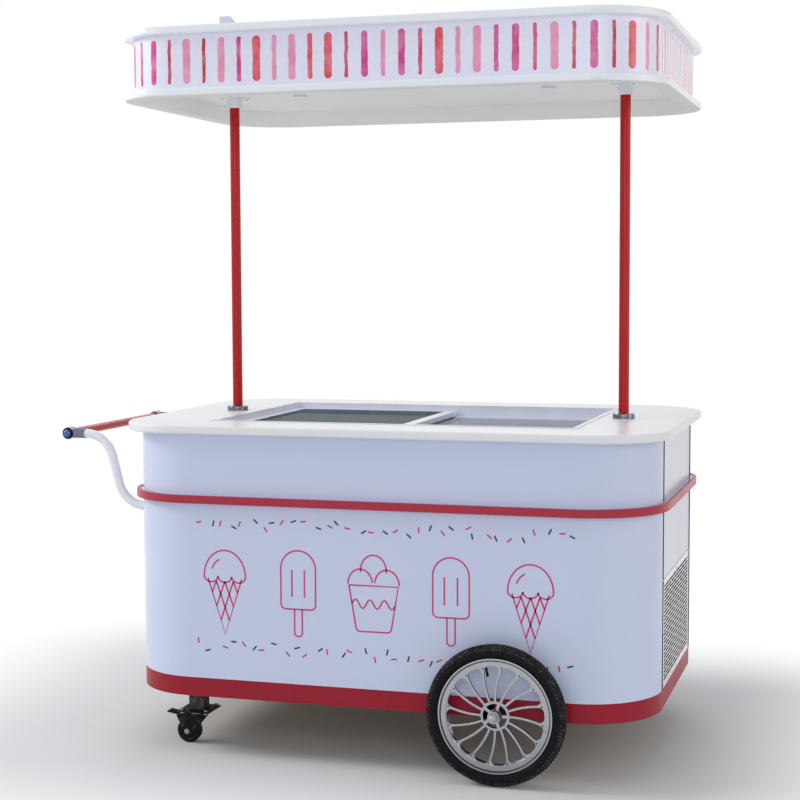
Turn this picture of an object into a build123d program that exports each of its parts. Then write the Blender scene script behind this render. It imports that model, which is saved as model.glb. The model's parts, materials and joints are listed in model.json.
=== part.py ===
from build123d import *
import math
import os

# Cabinet, in millimetres, with the floor at height zero and the counter's long side along X
body_length = 1610.0
body_width = 1040.0
corner_radius = 220.0
wall = 6.0
ground_clearance = 180.0
skirt_height = 57.0
lower_height = 530.0
belt_thickness = 20.0
belt_projection = 18.0
trim_thickness = 2.0
trim_lip = 12.0
upper_height = 185.0
seam = 2.0
floor_thickness = 12.0

# Counter
counter_thickness = 26.0
counter_overhang = 28.0
counter_radius = 205.0
counter_edge = 7.0

# Freezer and sliding lids
cutout_length = 1110.0
cutout_width = 730.0
track_fit = 0.5
track_wall = 3.5
track_lip = 12.0
track_lip_height = 2.0
ledge_width = 16.0
end_ledge_width = 20.0
track_floor = 18.0
upper_lid_drop = 16.0
lid_thickness = 16.0
lid_spacing = 2.0
lid_overlap = 40.0
lid_stile = 42.0
lid_play = 0.5
slide_gap = 0.3
glass_thickness = 4.0
glass_rebate = 6.0
glass_drop = 1.0
tub_depth = 318.0
tub_wall = 2.0
tub_corner = 30.0
insulation = 50.0

# Road wheels
wheel_x = 377.0
wheel_diameter = 406.0
wheel_standoff = 55.0
tyre_width = 47.0
tread_width = 38.0
tyre_seat_radius = 157.0
rim_inner_radius = 143.0
rim_flange_radius = 165.0
rim_width = 36.0
rim_flange = 4.0
rim_lip = 6.0
rim_step = 3.0
spoke_count = 16
spoke_width = 6.5
spoke_thickness = 8.0
spoke_skew = -8.0
spoke_bow = 1.5
spoke_offset = 6.0
spoke_land = 1.5
window_round = 14.0
hub_ring_outer = 41.0
hub_ring_inner = 35.0
hub_ring_thickness = 12.0
hub_spoke_count = 5
hub_spoke_width = 9.0
hub_radius = 18.0
hub_length = 60.0
bearing_radius = 14.0
bearing_width = 9.0
axle_radius = 8.0
axle_overrun = 5.5
axle_chamfer = 1.0
running_fit = 0.05
axial_play = 0.5
axle_nut_size = 24.0
axle_nut_height = 12.0
axle_washer_radius = 14.0
axle_washer = 3.0
axle_spacer_radius = 11.0
axle_hole_clearance = 5.0

# Chassis tubes
rail_width = 30.0
rail_height = 50.0
tube_wall = 3.0
cross_tube_width = 40.0
cross_tube_places = (-200.0, 150.0, 540.0)
long_rail_spread = 500.0
axle_block_length = 50.0
axle_block_width = 28.0
upright_size = 25.0
upright_inset = 25.0
trestle_spread = 960.0
trestle_size = 30.0

# Casters
caster_leg = 47.0
caster_inset = 130.0
caster_wheel_diameter = 75.0
caster_wheel_width = 30.0
roller_dish_radius = 24.5
roller_tread_radius = 28.0
roller_dish = 4.0
caster_trail = 32.0
caster_height = 104.0
caster_plate_size = 104.0
caster_plate_thickness = 4.0
race_radius = 30.0
race_height = 8.0
crown_radius = 27.0
crown_thickness = 8.0
crown_play = 0.3
kingpin_radius = 6.0
kingpin_head_radius = 9.0
kingpin_head = 5.0
cheek_thickness = 3.0
cheek_gap = 1.5
cheek_boss = 12.0
cheek_corner = 8.0
caster_pin_radius = 4.0
pin_head_radius = 7.0
pin_head = 4.0
brake_pivot_back = 60.0
brake_pivot_height = 84.0
brake_pin_radius = 3.0
brake_boss = 7.0
pedal_reach = 40.0
pedal_width = 36.0
pedal_thickness = 4.0
pedal_rise = 5.0
shoe_gap = 4.5

# Vent grille and refrigeration
grille_height = 321.0
grille_sheet = 2.0
slot_length = 50.0
slot_height = 5.5
slot_pitch_y = 77.0
slot_pitch_z = 11.0
slot_shortest = 8.0
grille_margin = 22.0
fan_height = 165.0
fan_radius = 120.0
fan_hub_radius = 28.0
fan_hub_length = 24.0
fan_blade_count = 5
fan_blade_thickness = 3.0
fan_blade_width = 62.0
fan_blade_pitch = 28.0
fan_shaft_radius = 5.0
fan_setback = 110.0
fan_motor_radius = 42.0
fan_motor_length = 70.0
fan_stand = 80.0
condenser_setback = 28.0
condenser_depth = 44.0
condenser_width = 340.0
condenser_height = 290.0
condenser_fins = 9
condenser_tubes = 3
condenser_tube_radius = 4.0
compressor_x = 300.0
compressor_y = 120.0
compressor_radius = 80.0
compressor_height = 190.0
compressor_round = 40.0
compressor_foot_length = 208.0
compressor_foot_width = 128.0
compressor_foot = 12.0

# Controls on the seller's side
control_x = 470.0
control_length = 130.0
control_height = 70.0
control_plate = 3.0
control_border = 12.0
control_corner = 8.0
knob_offset = -31.0
knob_radius = 19.0
knob_length = 15.0
knob_chamfer = 2.0
knob_mark_width = 2.4
knob_mark_length = 14.0
knob_mark_depth = 2.0
knob_shaft_radius = 3.0
thermostat_size = 40.0
thermostat_depth = 30.0
switch_offset = 36.0
rocker_radius = 9.0
rocker_width = 15.0
rocker_play = 0.3
rocker_flat = 5.5
rocker_tilt = 8.0
rocker_pin_radius = 1.5
switch_wall = 5.0

# Canopy on two posts
post_gap = 36.0
post_y = 20.0
post_diameter = 32.0
post_wall = 2.0
post_fit = 0.1
flange_diameter = 68.0
flange_height = 16.0
flange_round = 5.0
canopy_length = 1646.0
canopy_width = 1120.0
canopy_radius = 210.0
canopy_bottom = 1962.0
rim_thickness = 22.0
rim_edge = 4.0
fascia_inset = 25.0
fascia_thickness = 4.0
fascia_height = 158.0
canopy_tube = 20.0
ceiling_lift = 28.0
ceiling_thickness = 6.0
roof_thickness = 22.0
roof_skin = 6.0
roof_border = 60.0
socket_size = 40.0
socket_length = 32.0
socket_plate = 80.0
socket_plate_thickness = 4.0
light_x = 404.0
light_radius = 23.0
light_height = 8.0
light_bezel = 4.0
light_recess = 2.4
cover_x = -426.0
cover_length = 54.0
cover_width = 60.0
cover_height = 22.0
cover_flat = 34.0
cover_setback = 20.0

# Push handle
handle_setout = 20.0
handle_tube_diameter = 28.0
handle_tube_wall = 2.0
handle_base_height = 720.0
handle_height = 944.0
handle_out = 80.0
handle_lean = 56.0
crossbar_reach = 265.0
handle_bend = 94.0
sleeve_length = 54.0
sleeve_wall = 2.0
tee_radius = 19.0
tee_width = 36.0
crossbar_diameter = 26.0
cap_radius = 17.0
cap_collar = 4.0
cap_dome = 8.0
cap_border = 4.5
cap_round = 7.4

# Heights and half sizes worked out from the values above
half_length = body_length / 2
half_width = body_width / 2
flat_half_length = half_length - corner_radius
flat_half_width = half_width - corner_radius
skirt_top = ground_clearance + skirt_height
floor_top = skirt_top + floor_thickness
lower_top = skirt_top + lower_height
belt_top = lower_top + belt_thickness
counter_bottom = belt_top + upper_height
counter_top_height = counter_bottom + counter_thickness
axle_height = wheel_diameter / 2
wheel_y = half_width + wheel_standoff
upright_x = flat_half_length - upright_inset
rail_bottom = skirt_top - rail_height
cross_tube_height = rail_height / 2
caster_x = -flat_half_length - caster_leg / 2
caster_spread = body_width - 2 * caster_inset
roller_x = caster_x - caster_trail
post_x = cutout_length / 2 + track_lip + flange_diameter / 2 + post_gap
handle_spread = 2 * (flat_half_width + handle_setout)
crossbar_x = -half_length - crossbar_reach
handle_end = crossbar_x - tee_radius
counter_end = half_length + counter_overhang
centre_shift = -(handle_end + counter_end) / 2


def rounded_slab(length, width, radius, bottom, height):
    """Flat board with rounded corners, standing from bottom up."""
    return Pos(0, 0, bottom) * extrude(RectangleRounded(length, width, radius), height)


def body_slab(offset, bottom, height):
    """Board with the cabinet's outline, grown by offset."""
    return rounded_slab(
        body_length + 2 * offset, body_width + 2 * offset, corner_radius + offset, bottom, height
    )


def body_band(outer, inner, bottom, height):
    """Ring that follows the cabinet's outline between two offsets."""
    return body_slab(outer, bottom, height) - body_slab(inner, bottom, height)


def canopy_slab(offset, bottom, height):
    """Board with the canopy's outline, grown by offset."""
    return rounded_slab(
        canopy_length + 2 * offset, canopy_width + 2 * offset, canopy_radius + offset, bottom, height
    )


def canopy_band(outer, inner, bottom, height):
    """Ring that follows the canopy's outline between two offsets."""
    return canopy_slab(outer, bottom, height) - canopy_slab(inner, bottom, height)


def block(x0, x1, y0, y1, z0, z1):
    """Box between two corners."""
    centre = Pos((x0 + x1) / 2, (y0 + y1) / 2, (z0 + z1) / 2)
    return centre * Box(x1 - x0, y1 - y0, z1 - z0)


def rod_y(x, y0, y1, z, radius):
    """Round bar along Y."""
    return Pos(x, (y0 + y1) / 2, z) * Rot(90, 0, 0) * Cylinder(radius, y1 - y0)


def rod_x(x0, x1, y, z, radius):
    """Round bar along X."""
    return Pos((x0 + x1) / 2, y, z) * Rot(0, 90, 0) * Cylinder(radius, x1 - x0)


def disc_z(x, y, z0, z1, radius):
    """Round bar along Z."""
    return Pos(x, y, (z0 + z1) / 2) * Cylinder(radius, z1 - z0)


def tube_along(axis, x0, x1, y0, y1, z0, z1):
    """Hollow square tube, open at both ends along the named axis."""
    inset_x, inset_y, inset_z = [0 if axis == name else tube_wall for name in "xyz"]
    bore = block(x0 + inset_x, x1 - inset_x, y0 + inset_y, y1 - inset_y, z0 + inset_z, z1 - inset_z)
    return block(x0, x1, y0, y1, z0, z1) - bore


def other_side(shape):
    """The same shape on the far side of the cart."""
    return mirror(shape, about=Plane.XZ)


def both_sides(shape):
    """A shape and its mirror image across the cart."""
    return [shape, other_side(shape)]


def polar(radius, degrees):
    """Point at a radius and an angle."""
    return (radius * math.cos(math.radians(degrees)), radius * math.sin(math.radians(degrees)))


def soften_edges(board, radius, faces):
    """Round the outer edges of a board's top or bottom faces."""
    edges = [edge for face in faces for edge in face.outer_wire().edges()]
    return fillet(edges, radius)


def top_face(shape):
    return shape.faces().sort_by(Axis.Z)[-1]


def bottom_face(shape):
    return shape.faces().sort_by(Axis.Z)[0]


# Chassis, axle and floor


def chassis_frame():
    rail_outer = half_width - wall
    rail_inner = rail_outer - rail_width
    tier = rail_bottom + cross_tube_height
    bore_radius = axle_radius + running_fit
    bore = rod_y(wheel_x, rail_inner - axle_block_width, rail_outer, axle_height, bore_radius)
    side_rail = tube_along(
        "x", -flat_half_length, flat_half_length, rail_inner, rail_outer, rail_bottom, skirt_top
    )
    reach = axle_block_length / 2
    axle_block = block(
        wheel_x - reach, wheel_x + reach, rail_inner - axle_block_width, rail_inner, rail_bottom, skirt_top
    )
    tubes = both_sides(side_rail - bore) + both_sides(axle_block - bore)
    for x in cross_tube_places:
        half = cross_tube_width / 2
        tubes.append(tube_along("y", x - half, x + half, -rail_inner, rail_inner, rail_bottom, tier))
    half = caster_leg / 2
    caster_reach = rail_outer - rail_width / 2
    tubes.append(
        tube_along("y", caster_x - half, caster_x + half, -caster_reach, caster_reach, rail_bottom, tier)
    )
    end_outer = half_length - wall
    end_inner = end_outer - rail_width
    rail_y = long_rail_spread / 2
    half = rail_width / 2
    tubes += both_sides(tube_along("x", -end_inner, end_inner, rail_y - half, rail_y + half, tier, skirt_top))
    end_half = flat_half_width - seam
    for side in (-1, 1):
        low, high = sorted((side * end_inner, side * end_outer))
        tubes.append(tube_along("y", low, high, -end_half, end_half, rail_bottom, skirt_top))
    leg_y = caster_spread / 2
    half = caster_leg / 2
    leg_bottom = caster_height + caster_plate_thickness
    leg = tube_along(
        "z", caster_x - half, caster_x + half, leg_y - half, leg_y + half, leg_bottom, rail_bottom
    )
    tubes += both_sides(leg)
    return tubes


def axle():
    half = wheel_y + hub_length / 2 + axial_play + axle_washer + axle_nut_height + axle_overrun
    shaft = rod_y(wheel_x, -half, half, axle_height, axle_radius)
    return chamfer(shaft.edges().filter_by(GeomType.CIRCLE), axle_chamfer)


def axle_nuts():
    hub_outer = wheel_y + hub_length / 2 + axial_play
    hub_inner = wheel_y - hub_length / 2 - axial_play
    spacer = rod_y(wheel_x, half_width - wall, hub_inner, axle_height, axle_spacer_radius)
    washer = rod_y(wheel_x, hub_outer, hub_outer + axle_washer, axle_height, axle_washer_radius)
    nut_place = Pos(wheel_x, hub_outer + axle_washer, axle_height) * Rot(-90, 0, 0)
    nut = nut_place * extrude(RegularPolygon(axle_nut_size / 2, 6, major_radius=False), axle_nut_height)
    bore = rod_y(wheel_x, 0, wheel_y + hub_length, axle_height, axle_radius)
    pieces = []
    for piece in (spacer, washer, nut):
        pieces += both_sides(piece - bore)
    return pieces


def floor_board():
    return body_slab(-wall, skirt_top, floor_thickness)


def skirt():
    ring = body_band(0, -wall, ground_clearance, skirt_height)
    radius = axle_spacer_radius + axle_hole_clearance
    return ring - rod_y(wheel_x, -half_width - wall, half_width + wall, axle_height, radius)


def body_frame():
    bars = []
    half = upright_size / 2
    front_outer = half_width - wall
    end_outer = half_length - wall
    for x in (-upright_x, upright_x):
        bar = tube_along(
            "z", x - half, x + half, front_outer - upright_size, front_outer, floor_top, counter_bottom
        )
        bars += both_sides(bar)
    for side in (-1, 1):
        low, high = sorted((side * (end_outer - upright_size), side * end_outer))
        top_y = flat_half_width - seam
        bar = tube_along("z", low, high, top_y - upright_size, top_y, floor_top, counter_bottom)
        bars += both_sides(bar)
    leg_y = cutout_width / 2
    leg_top = jacket_bottom() - trestle_size
    half = trestle_size / 2
    for x in (-trestle_spread / 2, trestle_spread / 2):
        bars.append(block(x - half, x + half, -leg_y, leg_y, leg_top, jacket_bottom()))
        bars += both_sides(block(x - half, x + half, leg_y - trestle_size, leg_y, floor_top, leg_top))
    return bars


# Cabinet shells, each wrapping two corners, and the flat end panels between them


def front_shell(bottom, height):
    ring = body_band(0, -wall, bottom, height)
    keep = block(-body_length, body_length, -body_width, -flat_half_width, bottom, bottom + height)
    return ring & keep


def end_panel(side, bottom, height):
    low, high = sorted((side * (half_length - wall), side * half_length))
    reach = flat_half_width - seam
    return block(low, high, -reach, reach, bottom, bottom + height)


def control_window():
    half_x = control_length / 2 - control_border
    half_z = control_height / 2 - control_border
    place = Pos(control_x, half_width, control_middle())
    return place * Box(2 * half_x, 4 * wall, 2 * half_z)


def upper_rear_shell():
    return other_side(front_shell(belt_top, upper_height)) - control_window()


def upper_end_panel(side):
    return end_panel(side, belt_top + seam / 2, upper_height - seam)


def lower_front_shell():
    """Lower shell with the hole in its left corner that a handle tube goes through."""
    radius = handle_tube_diameter / 2 + post_fit
    hole_end = -half_length + 3 * wall
    hole = rod_x(-half_length - wall, hole_end, -handle_spread / 2, handle_base_height, radius)
    return front_shell(skirt_top, lower_height) - hole


def lower_left_panel():
    return end_panel(-1, skirt_top, lower_height)


def lower_right_panel():
    bottom = skirt_top + grille_height + seam
    return end_panel(1, bottom, lower_top - bottom)


def vent_grille():
    pan = end_panel(1, skirt_top, grille_height)
    reach = flat_half_width - seam - grille_sheet
    inner = half_length - grille_sheet
    low = skirt_top + grille_sheet
    high = skirt_top + grille_height - grille_sheet
    pan -= block(half_length - 2 * wall, inner, -reach, reach, low, high)
    rows = int((grille_height - 2 * grille_margin) // slot_pitch_z) + 1
    first = skirt_top + (grille_height - (rows - 1) * slot_pitch_z) / 2
    room = flat_half_width - seam - grille_margin - slot_length / 2
    per_side = int(room // slot_pitch_y)
    field = per_side * slot_pitch_y + slot_length / 2
    slots = []
    for row in range(rows):
        stagger = slot_pitch_y / 2 if row % 2 else 0.0
        z = first + row * slot_pitch_z
        for column in range(-per_side - 1, per_side + 1):
            y = column * slot_pitch_y + stagger
            start = max(y - slot_length / 2, -field)
            length = min(y + slot_length / 2, field) - start
            if length > slot_shortest:
                place = Pos(half_length, start + length / 2, z)
                slots.append(place * Box(4 * grille_sheet, length, slot_height))
    return pan - slots


def belt_ledge():
    return body_band(belt_projection, -wall, lower_top, belt_thickness)


def belt_trim():
    outer = belt_projection + trim_thickness
    lip = outer - trim_lip
    face = body_band(outer, belt_projection, lower_top, belt_thickness)
    over = body_band(outer, lip, belt_top, trim_thickness)
    under = body_band(outer, lip, lower_top - trim_thickness, trim_thickness)
    return face + over + under


def counter_top():
    board = rounded_slab(
        body_length + 2 * counter_overhang,
        body_width + 2 * counter_overhang,
        counter_radius,
        counter_bottom,
        counter_thickness,
    )
    board = soften_edges(board, counter_edge, [top_face(board), bottom_face(board)])
    return board - Pos(0, 0, counter_bottom) * Box(cutout_length, cutout_width, 4 * counter_thickness)


# Freezer


def upper_ledge_height():
    return counter_top_height - upper_lid_drop - lid_thickness - slide_gap


def lower_ledge_height():
    return upper_ledge_height() - lid_spacing - lid_thickness


def track_bottom():
    return lower_ledge_height() - track_floor


def jacket_bottom():
    return track_bottom() - tub_depth - tub_wall - insulation


def freezer_opening():
    """Clear length and width of the freezer's mouth."""
    inset = track_fit + track_wall
    length = cutout_length - 2 * inset - 2 * end_ledge_width
    width = cutout_width - 2 * inset - 4 * ledge_width
    return length, width


def plain_pocket(length, width, bottom, top):
    return block(-length / 2, length / 2, -width / 2, width / 2, bottom, top)


def lid_tracks():
    length = cutout_length - 2 * track_fit
    width = cutout_width - 2 * track_fit
    top = counter_top_height
    above = top + 2 * track_lip_height
    frame = plain_pocket(length, width, track_bottom(), top)
    frame += plain_pocket(
        cutout_length + 2 * track_lip, cutout_width + 2 * track_lip, top, top + track_lip_height
    )
    run_length = length - 2 * track_wall
    run_width = width - 2 * track_wall
    frame -= plain_pocket(run_length, run_width, upper_ledge_height(), above)
    frame -= plain_pocket(run_length, run_width - 2 * ledge_width, lower_ledge_height(), above)
    mouth_length, mouth_width = freezer_opening()
    return frame - plain_pocket(mouth_length, mouth_width, track_bottom() - wall, above)


def freezer_tub():
    length, width = freezer_opening()
    bottom = track_bottom() - tub_depth - tub_wall
    outer = rounded_slab(
        length + 2 * tub_wall, width + 2 * tub_wall, tub_corner + tub_wall, bottom, tub_depth + tub_wall
    )
    return outer - rounded_slab(length, width, tub_corner, bottom + tub_wall, tub_depth)


def freezer_jacket():
    length, width = freezer_opening()
    grow = 2 * tub_wall + 2 * track_fit
    outer = plain_pocket(
        length + grow + 2 * insulation, width + grow + 2 * insulation, jacket_bottom(), track_bottom()
    )
    collar = plain_pocket(
        cutout_length + 2 * insulation, cutout_width + 2 * insulation, track_bottom(), counter_bottom
    )
    collar -= plain_pocket(cutout_length, cutout_width, track_bottom(), counter_bottom)
    tub_height = tub_depth + tub_wall
    pocket = rounded_slab(
        length + grow, width + grow, tub_corner + tub_wall, track_bottom() - tub_height, tub_height
    )
    return outer + collar - pocket


def lid_size(upper):
    run_length = cutout_length - 2 * track_fit - 2 * track_wall
    run_width = cutout_width - 2 * track_fit - 2 * track_wall
    width = run_width if upper else run_width - 2 * ledge_width
    return (run_length + lid_overlap) / 2 - lid_play, width - 2 * lid_play, run_length


def lid_place(upper):
    """Centre along X and the underside of a closed lid."""
    length, width, run_length = lid_size(upper)
    reach = run_length / 2 - lid_play - length / 2
    if upper:
        return -reach, upper_ledge_height() + slide_gap
    return reach, lower_ledge_height() + slide_gap


def lid_frame(upper):
    length, width, run_length = lid_size(upper)
    x, bottom = lid_place(upper)
    top = bottom + lid_thickness
    open_length = length - 2 * lid_stile
    open_width = width - 2 * lid_stile
    frame = plain_pocket(length, width, bottom, top)
    frame -= plain_pocket(open_length, open_width, bottom - wall, top + wall)
    rebate_floor = top - glass_drop - glass_thickness
    frame -= plain_pocket(
        open_length + 2 * glass_rebate, open_width + 2 * glass_rebate, rebate_floor, top + wall
    )
    return Pos(x, 0, 0) * frame


def lid_glass(upper):
    length, width, run_length = lid_size(upper)
    x, bottom = lid_place(upper)
    top = bottom + lid_thickness - glass_drop
    inset = 2 * (lid_stile - glass_rebate + lid_play)
    return Pos(x, 0, 0) * plain_pocket(length - inset, width - inset, top - glass_thickness, top)


# Refrigeration behind the grille


def fan_face():
    return half_length - wall - fan_setback


def compressor():
    pot = disc_z(compressor_x, compressor_y, floor_top, floor_top + compressor_height, compressor_radius)
    pot = fillet(pot.edges().filter_by(GeomType.CIRCLE).sort_by(Axis.Z)[-1], compressor_round)
    foot_place = Pos(compressor_x, compressor_y, floor_top + compressor_foot / 2)
    return pot + foot_place * Box(compressor_foot_length, compressor_foot_width, compressor_foot)


def condenser():
    outer = half_length - wall - condenser_setback
    inner = outer - condenser_depth
    pitch = condenser_width / (condenser_fins - 1)
    fin = block(inner, outer, -grille_sheet / 2, grille_sheet / 2, floor_top, floor_top + condenser_height)
    core = [Pos(0, (i - (condenser_fins - 1) / 2) * pitch, 0) * fin for i in range(condenser_fins)]
    half = condenser_width / 2 + pitch / 2
    for row in range(condenser_tubes):
        z = floor_top + condenser_height * (row + 0.5) / condenser_tubes
        core.append(rod_y((inner + outer) / 2, -half, half, z, condenser_tube_radius))
    return Part() + core


def fan_motor():
    z = floor_top + fan_height
    hub_back = fan_face() - fan_hub_length
    motor_front = hub_back - 4 * axial_play
    motor_back = motor_front - fan_motor_length
    motor = rod_x(motor_back, motor_front, 0, z, fan_motor_radius)
    shaft_end = fan_face() + axial_play
    shaft = rod_x(motor_front, shaft_end, 0, z, fan_shaft_radius)
    keeper = rod_x(shaft_end, shaft_end + 2 * fan_shaft_radius, 0, z, 2 * fan_shaft_radius)
    middle = (motor_back + motor_front) / 2
    half = fan_motor_length / 4
    stand = block(middle - half, middle + half, -fan_stand / 2, fan_stand / 2, floor_top, z)
    return motor + shaft + keeper + stand


def fan_blades():
    z = floor_top + fan_height
    hub_back = fan_face() - fan_hub_length
    hub = rod_x(hub_back, fan_face(), 0, z, fan_hub_radius)
    middle = (hub_back + fan_face()) / 2
    reach = fan_radius - fan_hub_radius / 2
    blade_outline = RectangleRounded(reach, fan_blade_width, fan_blade_width / 3)
    blade = extrude(blade_outline, fan_blade_thickness / 2, both=True)
    blade = Pos(fan_hub_radius / 2 + reach / 2, 0, 0) * Rot(fan_blade_pitch, 0, 0) * blade
    place = Pos(middle, 0, z) * Rot(0, 90, 0)
    limit = rod_x(hub_back, fan_face(), 0, z, fan_radius)
    blades = [
        (place * Rot(0, 0, i * 360 / fan_blade_count) * blade) & limit for i in range(fan_blade_count)
    ]
    bore = rod_x(hub_back, fan_face(), 0, z, fan_shaft_radius + running_fit)
    return hub + blades - bore


# Controls


def control_middle():
    return (belt_top + counter_bottom) / 2


def control_panel():
    z = control_middle()
    face = half_width + control_plate
    sheet = RectangleRounded(control_length, control_height, control_corner)
    plate = Pos(control_x, half_width, z) * Rot(-90, 0, 0) * extrude(sheet, control_plate)
    knob_x = control_x + knob_offset
    housing_place = Pos(knob_x, half_width - thermostat_depth / 2, z)
    housing = housing_place * Box(thermostat_size, thermostat_depth, thermostat_size)
    half_x = rocker_width / 2 + rocker_play + switch_wall
    half_z = rocker_radius + rocker_play + switch_wall
    switch_x = control_x + switch_offset
    back = rocker_middle() - rocker_radius - rocker_play - switch_wall
    switch_case = block(switch_x - half_x, switch_x + half_x, back, half_width, z - half_z, z + half_z)
    panel = plate + switch_case + housing
    shaft_hole = rod_y(knob_x, face - knob_socket(), face + wall, z, knob_shaft_radius + running_fit)
    pocket_half = rocker_width / 2 + rocker_play
    pocket = rod_x(
        switch_x - pocket_half, switch_x + pocket_half, rocker_middle(), z, rocker_radius + rocker_play
    )
    pin_half = pocket_half + switch_wall / 2 + rocker_play
    pin_hole = rod_x(
        switch_x - pin_half, switch_x + pin_half, rocker_middle(), z, rocker_pin_radius + running_fit
    )
    return panel - shaft_hole - pocket - pin_hole


def knob_socket():
    return control_plate + thermostat_depth / 2


def rocker_middle():
    return half_width + control_plate - rocker_radius / 4


def thermostat_knob():
    z = control_middle()
    x = control_x + knob_offset
    face = half_width + control_plate
    start = face + slide_gap
    grip = rod_y(x, start, start + knob_length, z, knob_radius)
    outer_edge = grip.edges().filter_by(GeomType.CIRCLE).sort_by(Axis.Y)[-1]
    grip = chamfer(outer_edge, knob_chamfer)
    mark_place = Pos(x, start + knob_length, z + knob_radius)
    grip -= mark_place * Box(knob_mark_width, 2 * knob_mark_depth, 2 * knob_mark_length)
    shaft = rod_y(x, face - knob_socket() + axial_play, start, z, knob_shaft_radius)
    return grip + shaft


def power_switch():
    z = control_middle()
    x = control_x + switch_offset
    half = rocker_width / 2
    drum = rod_x(x - half, x + half, rocker_middle(), z, rocker_radius)
    cut = Pos(x, rocker_middle() + rocker_flat + rocker_radius, z) * Box(
        2 * rocker_width, 2 * rocker_radius, 4 * rocker_radius
    )
    tilt = Pos(0, rocker_middle(), z) * Rot(rocker_tilt, 0, 0) * Pos(0, -rocker_middle(), -z)
    drum -= tilt * cut
    pin_half = half + rocker_play + switch_wall / 2
    return drum + rod_x(x - pin_half, x + pin_half, rocker_middle(), z, rocker_pin_radius)


# Road wheels, drawn about a local Z axis that points out of the cart


def outward(shape, side):
    """Stand a wheel piece up on the near side (-1) or the far side (1)."""
    return Pos(wheel_x, side * wheel_y, axle_height) * Rot(-90 * side, 0, 0) * shape


def spin_profile(points):
    """Solid of revolution about local Z from radius and height pairs."""
    outline = Polyline(*[(radius, 0, height) for radius, height in points], close=True)
    return revolve(make_face(outline), Axis.Z)


def spoke_gap():
    """One petal-shaped window between two bowed spokes."""
    step = 360 / spoke_count
    root = hub_ring_outer + spoke_land
    tip = rim_inner_radius - spoke_land
    middle = (root + tip) / 2

    def side(sign, turn):
        def point(radius, swing, bow):
            across = math.degrees((sign * spoke_width / 2 + bow) / radius)
            return polar(radius, turn + swing + across)

        return point(root, 0, 0), point(middle, spoke_skew / 2, spoke_bow), point(tip, spoke_skew, 0)

    first = side(1, 0)
    second = side(-1, step)
    outer_middle = polar(tip, spoke_skew + step / 2)
    inner_middle = polar(root, step / 2)
    edges = [
        ThreePointArc(*first),
        ThreePointArc(first[2], outer_middle, second[2]),
        ThreePointArc(second[2], second[1], second[0]),
        ThreePointArc(second[0], inner_middle, first[0]),
    ]
    gap = make_face(edges)
    outer_corners = gap.vertices().sort_by(lambda v: math.hypot(v.X, v.Y))[-2:]
    return fillet(outer_corners, window_round)


def cast_wheel():
    half = rim_width / 2
    seat_half = half - rim_flange
    band_half = half - rim_step
    lip_radius = rim_flange_radius - rim_lip
    hub_half = hub_length / 2
    bore = axle_radius + axle_hole_clearance / 2
    ring_low = spoke_offset - hub_ring_thickness / 2
    ring_high = spoke_offset + hub_ring_thickness / 2
    web_low = spoke_offset - spoke_thickness / 2
    web_high = spoke_offset + spoke_thickness / 2
    wheel = spin_profile(
        [
            (bore, -hub_half),
            (hub_radius, -hub_half),
            (hub_radius, ring_low),
            (hub_ring_outer, ring_low),
            (hub_ring_outer, web_low),
            (rim_inner_radius, web_low),
            (rim_inner_radius, -band_half),
            (lip_radius, -band_half),
            (lip_radius, -half),
            (rim_flange_radius, -half),
            (rim_flange_radius, -seat_half),
            (tyre_seat_radius, -seat_half),
            (tyre_seat_radius, seat_half),
            (rim_flange_radius, seat_half),
            (rim_flange_radius, half),
            (lip_radius, half),
            (lip_radius, band_half),
            (rim_inner_radius, band_half),
            (rim_inner_radius, web_high),
            (hub_ring_outer, web_high),
            (hub_ring_outer, ring_high),
            (hub_radius, ring_high),
            (hub_radius, hub_half),
            (bore, hub_half),
        ]
    )
    window = Pos(0, 0, -half) * extrude(spoke_gap(), rim_width)
    wheel -= [Rot(0, 0, i * 360 / spoke_count) * window for i in range(spoke_count)]
    arm = Pos(hub_ring_outer / 2, 0) * Rectangle(hub_ring_outer, hub_spoke_width)
    hub_gaps = Circle(hub_ring_inner) - Circle(hub_radius + spoke_land)
    hub_gaps -= [Rot(0, 0, i * 360 / hub_spoke_count) * arm for i in range(hub_spoke_count)]
    wheel -= Pos(0, 0, -half) * extrude(hub_gaps, rim_width)
    seat = hub_half - bearing_width / 2
    return wheel - [Pos(0, 0, side * seat) * Cylinder(bearing_radius, bearing_width) for side in (-1, 1)]


def tyre():
    bead = rim_width / 2 - rim_flange
    crown = wheel_diameter / 2
    half = tyre_width / 2
    tread = tread_width / 2
    shoulder = crown - half / 3
    section = (tyre_seat_radius + crown) / 2
    lines = [
        Line((tyre_seat_radius, 0, bead), (rim_flange_radius, 0, bead)),
        ThreePointArc((rim_flange_radius, 0, bead), (section, 0, half), (shoulder, 0, tread)),
        ThreePointArc((shoulder, 0, tread), (crown, 0, 0), (shoulder, 0, -tread)),
        ThreePointArc((shoulder, 0, -tread), (section, 0, -half), (rim_flange_radius, 0, -bead)),
        Line((rim_flange_radius, 0, -bead), (tyre_seat_radius, 0, -bead)),
        Line((tyre_seat_radius, 0, -bead), (tyre_seat_radius, 0, bead)),
    ]
    return revolve(make_face(lines), Axis.Z)


def bearings():
    ring = Cylinder(bearing_radius, bearing_width) - Cylinder(axle_radius + running_fit, bearing_width)
    seat = hub_length / 2 - bearing_width / 2
    return [Pos(0, 0, -seat) * ring, Pos(0, 0, seat) * ring]


# Casters, drawn for the near side


def caster_y():
    return -caster_spread / 2


def crown_top():
    return caster_height - race_height - crown_play


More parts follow.
